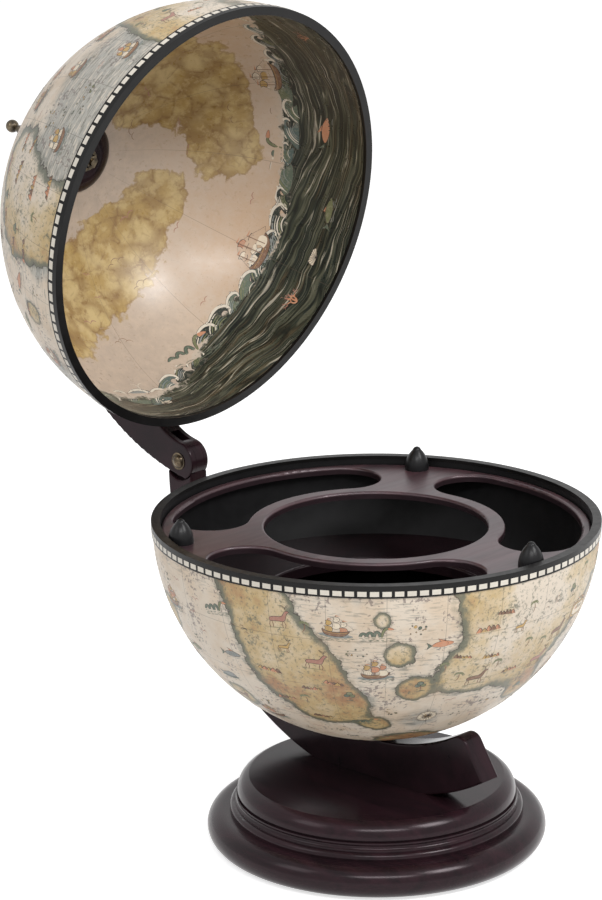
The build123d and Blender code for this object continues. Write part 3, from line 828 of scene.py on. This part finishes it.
# a grid's rows run up the face and come back down behind it, which closes a thin paper shell
def sheetTree():
    tree, size = newTree("turnedSheet", dict(
        Segments="Int", FaceRings="Int", BackRings="Int", FaceRadius="Float", BackRadius="Float",
        Lowest="Float", Highest="Float", Up="Float", Material="Material"))
    rows = plus(tree, size["FaceRings"], size["BackRings"])
    grid = addNode(tree, "GeometryNodeMeshGrid", {
        "Size X": 1.0, "Size Y": 1.0,
        "Vertices X": plus(tree, size["Segments"], 1.0), "Vertices Y": plus(tree, rows, 1.0)})
    flat = separate(tree, addNode(tree, "GeometryNodeInputPosition").outputs[0])
    row = calc(tree, "ROUND", times(tree, plus(tree, flat[1], 0.5), rows))
    row = calc(tree, "MODULO", row, rows)    # the last row closes onto the first
    front = calc(tree, "LESS_THAN", row, minus(tree, size["FaceRings"], 0.5))
    frontShare = calc(tree, "DIVIDE", row, minus(tree, size["FaceRings"], 1.0))
    left = minus(tree, minus(tree, rows, 1.0), row)
    backShare = calc(tree, "DIVIDE", left, minus(tree, size["BackRings"], 1.0))
    share = plus(tree, backShare, times(tree, front, minus(tree, frontShare, backShare)))
    step = minus(tree, size["FaceRadius"], size["BackRadius"])
    radius = plus(tree, size["BackRadius"], times(tree, front, step))
    rise = plus(tree, size["Lowest"], times(tree, share, minus(tree, size["Highest"], size["Lowest"])))
    turn = times(tree, flat[0], 2 * math.pi)
    reach = times(tree, radius, calc(tree, "COSINE", rise))
    place = combine(
        tree,
        X=times(tree, reach, calc(tree, "COSINE", turn)),
        Y=times(tree, reach, calc(tree, "SINE", turn)),
        Z=times(tree, size["Up"], times(tree, radius, calc(tree, "SINE", rise))))
    bent = addNode(tree, "GeometryNodeSetPosition", dict(Geometry=grid.outputs[0], Position=place))
    closed = addNode(tree, "GeometryNodeMergeByDistance", dict(Geometry=bent.outputs[0], Distance=0.000002))
    smooth = addNode(tree, "GeometryNodeSetShadeSmooth", {"Geometry": closed.outputs[0]})
    finishTree(tree, smooth.outputs[0], size["Material"])
    return tree


# tiles stand round the rim, then each point moves onto the ball, so a check curves with the black band
def checksTree():
    tree, size = newTree("rimChecks", dict(
        Count="Int", Radius="Float", Level="Float", Width="Float", Height="Float", Thickness="Float",
        Material="Material"))
    points = addNode(tree, "GeometryNodePoints", dict(Count=size["Count"]))
    tile = addNode(tree, "GeometryNodeMeshCube", {
        "Size": combine(tree, X=size["Thickness"], Y=size["Width"], Z=size["Height"]),
        "Vertices X": 2, "Vertices Y": 5, "Vertices Z": 3})
    order = addNode(tree, "GeometryNodeInputIndex").outputs[0]
    turn = calc(tree, "DIVIDE", times(tree, order, 2 * math.pi), size["Count"])
    spread = addNode(tree, "GeometryNodeInstanceOnPoints", dict(
        Points=points.outputs[0], Instance=tile.outputs[0], Rotation=combine(tree, Z=turn)))
    sent = addNode(tree, "GeometryNodeTranslateInstances", dict(
        Instances=spread.outputs[0], Translation=combine(tree, X=size["Radius"], Z=size["Level"])))
    real = addNode(tree, "GeometryNodeRealizeInstances", dict(Geometry=sent.outputs[0]))
    spot = addNode(tree, "GeometryNodeInputPosition").outputs[0]
    flat = separate(tree, spot)
    outer = vectorCalc(tree, "LENGTH", {0: spot}, "Value")
    reach = vectorCalc(tree, "LENGTH", {0: combine(tree, X=flat[0], Y=flat[1])}, "Value")
    front = calc(tree, "GREATER_THAN", reach, size["Radius"])
    wanted = minus(tree, size["Radius"], times(tree, minus(tree, 1.0, front), size["Thickness"]))
    onBall = vectorCalc(tree, "SCALE", {0: spot, "Scale": calc(tree, "DIVIDE", wanted, outer)})
    bent = addNode(tree, "GeometryNodeSetPosition", dict(Geometry=real.outputs[0], Position=onBall))
    finishTree(tree, bent.outputs[0], size["Material"])
    return tree


# paper and print

def gridLine(tree, angle, period, width, core=0.4):
    part = calc(tree, "FRACT", plus(tree, calc(tree, "DIVIDE", angle, period), 0.5))
    away = calc(tree, "ABSOLUTE", minus(tree, part, 0.5))
    return between(tree, away, width / period, width * core / period)


def sphereAngles(tree, point):
    x, y, z = separate(tree, point)
    lon, lat = calc(tree, "ARCTAN2", y, x), calc(tree, "ARCSINE", z)
    return times(tree, lon, 180 / math.pi), times(tree, lat, 180 / math.pi)


# the steps that every layer of a print takes, with their values from the print's dictionary
def printSteps(tree, look):
    def cloud(key, vector):
        return noise(tree, vector, *look["cloud"][key])

    def mask(key, value):
        return between(tree, value, *look["edge"][key])

    def lay(key, cover, base, colour):
        return blendColour(tree, times(tree, cover, look["share"][key]), base, look["paint"][colour])

    return cloud, mask, lay


mapPrint = dict(
    paint=dict(
        sea=(0.64, 0.555, 0.455), seaWarm=(0.60, 0.485, 0.365), wash=(0.30, 0.305, 0.285),
        ochre=(0.47, 0.34, 0.165), orange=(0.35, 0.185, 0.090), straw=(0.57, 0.455, 0.295),
        shore=(0.095, 0.108, 0.078), coast=(0.050, 0.040, 0.033), scribble=(0.20, 0.195, 0.165),
        speck=(0.17, 0.135, 0.125), stain=(0.40, 0.275, 0.16),
    ),
    # scale, detail and roughness of a noise
    cloud=dict(
        fine=(20, 7, 0.66), mottle=(7, 5, 0.62), strokes=(1.0, 3, 0.6), halo=(30, 4, 0.6), drifts=(8, 3, 0.6),
        flecks=(62, 4, 0.6), hue=(13, 5, 0.65), scrub=(60, 4, 0.7), woods=(10, 6, 0.72), leaves=(85, 3, 0.6),
        stains=(3.2, 6, 0.7), sheen=(40, 4), tooth=(90, 4, 0.6),
    ),
    # where a mask starts and where it is full
    edge=dict(
        mottle=(0.38, 0.66), wash=(0.42, 0.86), busy=(-0.1, 0.8), nearShore=(0.22, 0.50), halo=(0.33, 0.50),
        brokenHalo=(0.36, 0.60), washStrokes=(0.45, 0.8), strokes=(0.545, 0.60), crests=(0.445, 0.40),
        washCrests=(0.5, 0.8), flecks=(0.605, 0.665), hue=(-1.3, 1.5, "LINEAR"), scrub=(0.53, 0.64),
        woods=(0.54, 0.64), leaves=(0.40, 0.58), inland=(0.74, 0.56), land=(0.492, 0.508),
        coast=(0.020, 0.008), stains=(0.50, 0.72),
    ),
    # how strongly a layer shows, or how far a noise pushes a field
    share=dict(
        fine=0.46, washed=1.3, wash=0.8, busyPush=3.0, halo=0.62, busy=0.65, strokes=0.75, crests=0.6,
        driftPush=0.7, flecks=0.75, huePush=2.6, scrub=0.62, woods=0.75, inlandPush=0.25, inland=0.9,
        coast=0.9, grid=0.5, stains=0.35,
    ),
    ground=((0.12, "orange"), (0.34, "ochre"), (0.6, "straw"), (0.85, "sea")),
    strokeStretch=(14.0, 14.0, 115.0), coastLevel=0.50, gridPitch=15.0, gridWidth=0.10,
    sheen=(0.34, 0.46), specular=0.4, bump=(0.06, 0.0004),
)


def mapPaperMaterial():
    material, tree, shader = newMaterial("mapPaper")
    point = attribute(tree, "spot", "Vector")
    look, paint, share = mapPrint, mapPrint["paint"], mapPrint["share"]
    cloud, mask, lay = printSteps(tree, look)
    fine = times(tree, minus(tree, cloud("fine", point), 0.5), share["fine"])
    land = plus(tree, attribute(tree, "land"), fine)

    sea = blendColour(tree, mask("mottle", cloud("mottle", point)), paint["sea"], paint["seaWarm"])
    washed = plus(tree, attribute(tree, "wash"), fine, share["washed"])
    sea = lay("wash", mask("wash", washed), sea, "wash")
    halo = times(tree, mask("halo", land), mask("brokenHalo", cloud("halo", point)))
    sea = lay("halo", halo, sea, "shore")
    # short engraved strokes lie along the parallels, thickest near the shores
    stretched = vectorCalc(tree, "MULTIPLY", {0: point, 1: look["strokeStretch"]})
    strokes = cloud("strokes", stretched)
    busy = mask("busy", plus(tree, attribute(tree, "busy"), fine, share["busyPush"]))
    reach = calc(tree, "MAXIMUM", mask("nearShore", land), mask("washStrokes", washed))
    reach = calc(tree, "MAXIMUM", times(tree, busy, share["busy"]), reach)
    sea = lay("strokes", times(tree, mask("strokes", strokes), reach), sea, "scribble")
    crests = times(tree, mask("crests", strokes), mask("washCrests", washed))
    sea = lay("crests", crests, sea, "sea")
    # loose flecks gather in drifts over the sea
    drifts = minus(tree, cloud("drifts", point), 0.5)
    flecks = plus(tree, cloud("flecks", point), drifts, share["driftPush"])
    sea = lay("flecks", mask("flecks", flecks), sea, "speck")

    hue = plus(tree, attribute(tree, "hue"), minus(tree, cloud("hue", point), 0.5), share["huePush"])
    ground = ramp(tree, mask("hue", hue), [(place, paint[colour]) for place, colour in look["ground"]])
    scrub = cloud("scrub", point)
    ground = lay("scrub", mask("scrub", scrub), ground, "shore")
    woods = times(tree, mask("woods", cloud("woods", point)), mask("leaves", cloud("leaves", point)))
    ground = lay("woods", woods, ground, "shore")
    inland = plus(tree, land, minus(tree, scrub, 0.5), share["inlandPush"])
    ground = lay("inland", mask("inland", inland), ground, "shore")

    paper = blendColour(tree, mask("land", land), sea, ground)
    coast = calc(tree, "ABSOLUTE", minus(tree, land, look["coastLevel"]))
    paper = lay("coast", mask("coast", coast), paper, "coast")
    lines = [gridLine(tree, angle, look["gridPitch"], look["gridWidth"]) for angle in sphereAngles(tree, point)]
    paper = lay("grid", calc(tree, "MAXIMUM", *lines), paper, "coast")
    paper = lay("stains", mask("stains", cloud("stains", point)), paper, "stain")
    tree.links.new(paper, shader.inputs["Base Color"])
    setRoughness(tree, shader, cloud("sheen", point), *look["sheen"])
    shader.inputs["Specular IOR Level"].default_value = look["specular"]
    addBump(tree, shader, cloud("tooth", point), *look["bump"])
    return material


skyPrint = dict(
    paint=dict(
        cream=(0.56, 0.445, 0.345), peach=(0.52, 0.36, 0.235), haze=(0.43, 0.345, 0.275),
        gold=(0.43, 0.29, 0.105), paleGold=(0.58, 0.44, 0.215), umber=(0.24, 0.135, 0.050),
        deep=(0.008, 0.011, 0.010), dusk=(0.020, 0.028, 0.023), moss=(0.048, 0.052, 0.034),
        shade=(0.018, 0.022, 0.016), sand=(0.085, 0.066, 0.038), slate=(0.026, 0.034, 0.030),
        hollow=(0.007, 0.009, 0.008), glint=(0.16, 0.16, 0.11), crest=(0.44, 0.40, 0.32),
        spray=(0.33, 0.30, 0.24), foam=(0.52, 0.46, 0.38), seam=(0.10, 0.075, 0.055),
    ),
    cloud=dict(
        fine=(20, 6, 0.65), veil=(6, 5, 0.6), broken=(17, 3, 0.6), pale=(14, 4, 0.7), scratch=(75, 3, 0.7),
        swirl=(0.20, 3, 0.5, 0.9), depth=(0.42, 4, 0.55, 0.4), ridges=(0.9, 4, 0.6, 0.5), sheen=(30, 4),
        tooth=(70, 4, 0.6),
    ),
    edge=dict(
        rosy=(-1.4, 1.4, "LINEAR"), veil=(0.40, 0.64), lobe=(0.30, 0.80), broken=(0.44, 0.60),
        small=(0.16, 0.0), lobeRim=(0.10, 0.0), pale=(0.50, 0.66), bank=(0.20, 0.30), hem=(0.06, 0.0),
        scratch=(0.61, 0.70), hollow=(-0.3, -1.0), glint=(0.35, 1.0), litComb=(0.70, 0.98),
        litRidge=(0.50, 0.62), spray=(0.665, 0.70), sea=(-0.35, 0.35), foam=(1.1, 0.4),
    ),
    share=dict(
        rosyPush=2.0, bend=0.10, lobe=0.60, small=0.30, lobeRim=0.62, pale=0.6, goldFine=0.5, goldLobe=0.30,
        hem=0.40, scratch=0.25, hollow=0.8, glint=0.42, lit=0.95, seaPush=9.0, foam=0.55, seam=0.45,
    ),
    sky=((0.1, "haze"), (0.45, "cream"), (0.9, "peach")),
    sea=((0.34, "deep"), (0.44, "dusk"), (0.50, "moss"), (0.55, "shade"), (0.61, "sand"), (0.68, "slate")),
    bendScale=9.0, lobeScale=9.5, smallScale=24.0, hemLevel=0.27, combPitch=95.0, foamLevel=0.3,
    seamPitch=30.0, seamWidth=0.14, sheen=(0.26, 0.34), specular=0.45, bump=(0.05, 0.0004),
)


def cells(tree, vector, scale, feature="DISTANCE_TO_EDGE"):
    node = addNode(tree, "ShaderNodeTexVoronoi", dict(Vector=vector, Scale=scale), feature=feature)
    return node.outputs["Distance"]


def skyPaperMaterial():
    material, tree, shader = newMaterial("skyPaper")
    point = attribute(tree, "spot", "Vector")
    look, paint, share = skyPrint, skyPrint["paint"], skyPrint["share"]
    cloud, mask, lay = printSteps(tree, look)
    fine = minus(tree, cloud("fine", point), 0.5)
    rosy = mask("rosy", plus(tree, attribute(tree, "rosy"), fine, share["rosyPush"]))
    sky = ramp(tree, rosy, [(place, paint[colour]) for place, colour in look["sky"]])

    # rounded lobes, each with a dark edge, stack into banks
    sway = addNode(tree, "ShaderNodeTexNoise", dict(Vector=point, Scale=look["bendScale"], Detail=2))
    sway = vectorCalc(tree, "SCALE", {0: sway.outputs["Color"], "Scale": share["bend"]})
    bent = vectorCalc(tree, "ADD", {0: point, 1: sway})
    lobe = cells(tree, bent, look["lobeScale"], "F1")
    lobeRim = mask("lobeRim", cells(tree, bent, look["lobeScale"]))
    small = mask("small", cells(tree, bent, look["smallScale"]))
    broken = mask("broken", cloud("broken", point))
    bank = blendColour(tree, mask("veil", cloud("veil", point)), paint["gold"], paint["paleGold"])
    bank = lay("lobe", mask("lobe", lobe), bank, "umber")
    bank = lay("small", times(tree, small, broken), bank, "umber")
    bank = lay("lobeRim", times(tree, lobeRim, broken), bank, "umber")
    bank = lay("pale", mask("pale", cloud("pale", point)), bank, "paleGold")
    push = minus(tree, times(tree, fine, share["goldFine"]), times(tree, lobe, share["goldLobe"]))
    gold = plus(tree, attribute(tree, "gold"), push)
    sky = blendColour(tree, mask("bank", gold), sky, bank)
    hem = calc(tree, "ABSOLUTE", minus(tree, gold, look["hemLevel"]))
    sky = lay("hem", mask("hem", hem), sky, "umber")
    sky = lay("scratch", mask("scratch", cloud("scratch", point)), sky, "umber")

    drift = attribute(tree, "drift", "Vector")
    comb = calc(tree, "SINE", times(tree, cloud("swirl", drift), look["combPitch"]))
    ridges = cloud("ridges", drift)
    sea = ramp(tree, cloud("depth", drift), [(place, paint[colour]) for place, colour in look["sea"]])
    sea = lay("hollow", mask("hollow", comb), sea, "hollow")
    sea = lay("glint", mask("glint", comb), sea, "glint")
    sea = lay("lit", times(tree, mask("litComb", comb), mask("litRidge", ridges)), sea, "crest")
    sea = blendColour(tree, mask("spray", ridges), sea, paint["spray"])
    level = plus(tree, attribute(tree, "sea"), fine, share["seaPush"])
    paper = blendColour(tree, mask("sea", level), sky, sea)
    foam = calc(tree, "ABSOLUTE", plus(tree, level, look["foamLevel"]))
    paper = lay("foam", mask("foam", foam), paper, "foam")
    lon = sphereAngles(tree, point)[0]
    paper = lay("seam", gridLine(tree, lon, look["seamPitch"], look["seamWidth"]), paper, "seam")
    tree.links.new(paper, shader.inputs["Base Color"])
    setRoughness(tree, shader, cloud("sheen", point), *look["sheen"])
    shader.inputs["Specular IOR Level"].default_value = look["specular"]
    addBump(tree, shader, cloud("tooth", point), *look["bump"])
    return material


inkPrint = dict(
    wear=(420, 4, 0.7), worn=(0.48, 0.62), fade=0.20, bare=(0.50, 0.42, 0.33), sheen=(0.34, 0.46), specular=0.4,
)


def inkMaterial():
    material, tree, shader = newMaterial("printInk")
    colour = attribute(tree, "inkColour", "Color")
    wear = noise(tree, objectPoint(tree), *inkPrint["wear"])
    faded = blendColour(tree, inkPrint["fade"], colour, inkPrint["bare"])
    printed = blendColour(tree, between(tree, wear, *inkPrint["worn"]), colour, faded)
    tree.links.new(printed, shader.inputs["Base Color"])
    setRoughness(tree, shader, wear, *inkPrint["sheen"])
    shader.inputs["Specular IOR Level"].default_value = inkPrint["specular"]
    return material


mapPaper = mapPaperMaterial()
skyPaper = skyPaperMaterial()
inkPaint = inkMaterial()


# papers, drawings and painted checks

turnedSheet = sheetTree()
rimChecks = checksTree()
sheetGrid = dict(Segments=512, FaceRings=124, BackRings=12)
outerSheet = dict(
    face=ball["mapFace"], back=ball["mapBack"], skirt=ball["mapSkirt"],
    fields=paintMap, material=mapPaper, slot="map_paper",
)
innerSheet = dict(
    face=ball["skyFace"], back=ball["skyBack"], skirt=ball["skySkirt"],
    fields=paintSky, material=skyPaper, slot="sky_paper",
)


def paperPiece(name, sheet, up, place, body, replaced):
    face = sheet["face"]
    piece = grownPiece(name, turnedSheet, dict(
        sheetGrid, FaceRadius=face, BackRadius=sheet["back"], Lowest=math.asin(sheet["skirt"] / face),
        Highest=math.acos(ball["bore"] / face), Up=float(up), Material=sheet["material"]), Matrix.Identity(4))
    mesh = piece.data
    points = np.zeros(len(mesh.vertices) * 3, np.float32)
    mesh.vertices.foreach_get("co", points)
    units = points.reshape(-1, 3).astype(float)
    units /= np.linalg.norm(units, axis=1)[:, None]
    for key, values in dict(sheet["fields"](units), spot=units).items():
        flat = values.ndim == 1
        layer = mesh.attributes.new(key, "FLOAT" if flat else "FLOAT_VECTOR", "POINT")
        layer.data.foreach_set("value" if flat else "vector", values.astype(np.float32).ravel())
    work = bmesh.new()
    work.from_mesh(mesh)
    bmesh.ops.recalc_face_normals(work, faces=work.faces)
    work.to_mesh(mesh)
    work.free()
    mesh.transform(place)
    mesh.set_sharp_from_angle(angle=math.radians(50))
    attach(piece, body)
    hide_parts(replaced)
    return piece


paperPiece("bowl_map", outerSheet, -1, bowlPlace, "stand", "bowl_print")
paperPiece("lid_map", outerSheet, 1, lidPlace, "lid", "lid_print")
paperPiece("lid_sky", innerSheet, 1, lidPlace, "lid", "lid_lining")
print("stage: papers turned and painted")


landDrawings = (mountain, leafyTree, palm, stag, hills)
shoreline = dict(land=0.62, sea=0.30)    # land field under what stands on land, and under what floats


def scatter(sheet, kinds, tries, lats, radius, seed, taken, inside=False):
    random = np.random.default_rng(seed)
    for _ in range(tries):
        lon, lat = random.uniform(0, 360), random.uniform(*lats)
        kind, reach, size = kinds[random.integers(len(kinds))]
        here = unitVector(lon, lat)
        if not inside:
            height, onLand = landField(here[None, :])[0], kind in landDrawings
            if (height > shoreline["land"]) != onLand or (not onLand and height > shoreline["sea"]):
                continue
        if all(degreesApart(here, there) > reach * size + room for there, room in taken):
            taken.append((here, reach * size))
            stamp(sheet, kind(random), lon, lat, radius, size, random.uniform(-10, 10), inside)


# kind, reach in degrees, size
mapKinds = [
    (mountain, 2.6, 1.3), (leafyTree, 1.8, 1.4), (hills, 2.6, 1.4), (palm, 2.2, 1.0), (stag, 2.4, 1.5),
    (mountain, 2.6, 1.0), (ship, 4.8, 1.0), (fish, 3.0, 1.2), (islets, 2.4, 1.5), (gull, 1.6, 1.3),
    (serpent, 4.4, 1.0), (islets, 2.2, 1.0),
]
mapTries = 5200
# kind, longitude, latitude, reach in degrees, size, turn
bowlDrawings = [
    (ship, 222, -26, 6, 1.05, 4), (compassRose, 240, -44, 5, 1.05, 8), (scroll, 290, -18, 6, 1.0, -4),
    (whale, 172, -34, 6, 0.9, 5), (ship, 308, -36, 5, 0.85, -6), (serpent, 218, -46, 5, 0.8, 0),
    (ship, 142, -22, 6, 1.0, 0), (compassRose, 80, -40, 5, 1.1, 0), (scroll, 120, -40, 6, 0.9, 0),
    (stag, 262, -17, 3.4, 0.95, 0), (stag, 198, -20, 3.4, 0.95, 0), (whale, 0, -30, 6, 1.0, 0),
]
lidDrawings = [
    (ship, 228, 22, 6, 1.0, 0), (compassRose, 172, 34, 5, 1.0, 0), (scroll, 232, 50, 6, 0.95, 0),
    (whale, 150, 58, 6, 0.9, 0), (ship, 80, 40, 6, 1.0, 0), (serpent, 300, 44, 5, 0.9, 0),
    (ship, 330, 22, 6, 0.95, 0), (compassRose, 290, 15, 5, 0.9, 0), (whale, 138, 18, 6, 0.9, 0),
]


def drawMap(name, place, body, lats, placed, seed):
    sheet = newSheet()
    random = np.random.default_rng(seed)
    taken = []
    for kind, lon, lat, reach, size, turn in placed:
        taken.append((unitVector(lon, lat), reach))
        stamp(sheet, kind(random), lon, lat, ball["mapFace"], size, turn)
    scatter(sheet, mapKinds, mapTries, lats, ball["mapFace"], seed + 1, taken)
    return inkPiece(name, sheet, place, body)


drawMap("bowl_ink", bowlPlace, "stand", (-78, -8), bowlDrawings, 101)
drawMap("lid_ink", lidPlace, "lid", (8, 78), lidDrawings, 202)


# a drawing without a latitude floats on the edge of the sea
skyDrawings = [
    (coral, 38, 8, 5, 1.7, 0), (shellFan, 24, 9, 4, 1.7, 12), (fish, 346, 14, 6, 1.8, -8),
    (fish, 10, 10, 5, 1.6, 6), (coral, 308, 8, 5, 1.5, 0), (shellFan, 94, 8, 4, 1.6, -10),
    (ship, 30, None, 7, 1.6, 3), (serpent, 72, None, 7, 1.9, -6), (whale, 100, None, 8, 1.7, 0),
    (ship, 328, None, 7, 1.5, -4), (serpent, 358, None, 7, 1.7, 5), (ship, 262, None, 7, 1.5, 0),
    (serpent, 200, None, 7, 1.5, 0), (ship, 155, None, 7, 1.5, 0), (compassRose, 190, 62, 6, 1.1, 0),
]
crestRow = dict(
    first=4, pitch=7.5, drop=1.5, sway=1.8, size=1.5, sizes=(0.7, 1.25), tilt=14, keptClear=5, seed=41,
)
skyKinds = [(gull, 2.6, 2.2), (gull, 2.2, 1.6), (puff, 3.0, 1.6), (gull, 2.0, 1.2)]
skyAir = dict(tries=160, lats=(26, 80), afloat=1.0, seed=303)


def drawSky():
    sheet = newSheet()
    random = np.random.default_rng(skyAir["seed"])
    taken = []
    for kind, lon, lat, reach, size, turn in skyDrawings:
        if lat is None:
            lat = float(seaTop(np.array(lon))) + skyAir["afloat"]
        taken.append((unitVector(lon, lat), reach))
        stamp(sheet, kind(random), lon, lat, ball["skyFace"], size, turn, inside=True)
    row = crestRow
    tops = np.random.default_rng(row["seed"])
    for lon in np.arange(row["first"], 360, row["pitch"]):
        lat = float(seaTop(np.array(lon))) - row["drop"] + tops.uniform(-1, 1) * row["sway"]
        here = unitVector(lon, lat)
        if all(degreesApart(here, there) >= room for there, room in taken[:row["keptClear"]]):
            size = row["size"] * tops.uniform(*row["sizes"])
            tilt = row["tilt"]
            stamp(sheet, crest(tops), lon, lat, ball["skyFace"], size, tops.uniform(-tilt, tilt), inside=True)
    air = skyAir
    scatter(sheet, skyKinds, air["tries"], air["lats"], ball["skyFace"], air["seed"] + 1, taken, inside=True)
    return inkPiece("sky_ink", sheet, lidPlace, "lid")


drawSky()
print("stage: drawings laid on the papers")


checks = dict(Count=120, Radius=0.165635, Width=0.0064, Height=0.0037, Thickness=0.0004)
checksLevel = 0.00585    # from the rim's plane into the bowl or the lid


def checkPiece(name, up, place, body):
    piece = grownPiece(name, rimChecks, dict(checks, Level=checksLevel * up, Material=checkPaint), place)
    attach(piece, body)
    return piece


checkPiece("bowl_checks", -1, bowlPlace, "stand")
checkPiece("lid_checks", 1, lidPlace, "lid")
print("stage: checks painted on both rims")


# camera, lamps, floor

eye = dict(
    spot=(-1.71058, -1.56139, 0.96774),
    ahead=(0.694479, 0.664716, -0.275411),      # the way it looks
    across=(0.689838, -0.723922, -0.007713),    # towards the picture's right
    lens=131.7105, sensor=36, nearest=0.05, farthest=50,
)


def placeCamera():
    camera = bpy.data.objects.new("camera", bpy.data.cameras.new("camera"))
    bpy.context.scene.collection.objects.link(camera)
    ahead = Vector(eye["ahead"]).normalized()
    across = Vector(eye["across"])
    across = (across - ahead * across.dot(ahead)).normalized()
    up = across.cross(ahead)
    rows = [(across[k], up[k], -ahead[k], eye["spot"][k]) for k in range(3)]
    camera.matrix_world = Matrix((*rows, (0, 0, 0, 1)))
    camera.data.sensor_width = camera.data.sensor_height = eye["sensor"]
    camera.data.sensor_fit = "AUTO"
    camera.data.lens = eye["lens"]
    camera.data.clip_start, camera.data.clip_end = eye["nearest"], eye["farthest"]
    bpy.context.scene.camera = camera


studio = dict(
    worldLevel=0.46, aim=(0, 0.05, 0.3),
    lamps=dict(
        keySoftbox=dict(azimuth=-80, elevation=44, distance=2.4, size=(0.75, 0.75), watts=32),
        frontSoftbox=dict(azimuth=-132, elevation=40, distance=2.6, size=(1.6, 0.38), watts=26),
        leftFill=dict(azimuth=160, elevation=35, distance=2.6, size=(1.0, 1.0), watts=8),
    ),
    floorSize=12, floorAlbedo=0.80, floorGrain=1.01, floorLift=0.68, floorRoughness=0.9, floorSpecular=0.05,
)


def addLamp(name, azimuth, elevation, distance, size, watts):
    light = bpy.data.lights.new(name, "AREA")
    light.shape = "RECTANGLE"
    light.size, light.size_y = size
    light.energy = watts
    lamp = bpy.data.objects.new(name, light)
    bpy.context.scene.collection.objects.link(lamp)
    a, e = math.radians(azimuth), math.radians(elevation)
    away = Vector((math.cos(a) * math.cos(e), math.sin(a) * math.cos(e), math.sin(e)))
    lamp.location = Vector(studio["aim"]) + away * distance
    lamp.rotation_mode = "QUATERNION"
    lamp.rotation_quaternion = away.to_track_quat("Z", "Y")


# 1 where the camera or a polished face looks, 0 for the light that falls on the part
def seenStraight(tree):
    path = addNode(tree, "ShaderNodeLightPath").outputs
    seen = calc(tree, "MAXIMUM", path["Is Camera Ray"], path["Is Glossy Ray"])
    return calc(tree, "MAXIMUM", seen, path["Is Transmission Ray"])


def buildWorld():
    world = bpy.data.worlds.new("studio")
    bpy.context.scene.world = world
    world.use_nodes = True
    tree = world.node_tree
    tree.nodes.clear()
    lit, white = (
        addNode(tree, "ShaderNodeBackground", dict(Color=(1, 1, 1, 1), Strength=level)).outputs[0]
        for level in (studio["worldLevel"], 1.0))
    both = addNode(tree, "ShaderNodeMixShader", {0: seenStraight(tree), 1: lit, 2: white})
    output = addNode(tree, "ShaderNodeOutputWorld")
    tree.links.new(both.outputs[0], output.inputs["Surface"])


def layFloor():
    bpy.ops.mesh.primitive_grid_add(x_subdivisions=8, y_subdivisions=8, size=studio["floorSize"])
    floor = bpy.context.object
    floor.name = "floor"
    material, tree, shader = newMaterial("floorPaper")
    shader.inputs["Roughness"].default_value = studio["floorRoughness"]
    shader.inputs["Specular IOR Level"].default_value = studio["floorSpecular"]
    low = studio["floorAlbedo"]
    grain = ramp(tree, noise(tree, objectPoint(tree), 30, 2), [(0.3, low), (0.7, low * studio["floorGrain"])])
    tree.links.new(grain, shader.inputs["Base Color"])
    shader.inputs["Emission Color"].default_value = (1, 1, 1, 1)
    tree.links.new(times(tree, seenStraight(tree), studio["floorLift"]), shader.inputs["Emission Strength"])
    floor.data.materials.append(material)


placeCamera()
bpy.context.scene.view_settings.view_transform = "Standard"
buildWorld()
for lampName, lampPlan in studio["lamps"].items():
    addLamp(lampName, **lampPlan)
layFloor()
print("stage: camera and studio set")
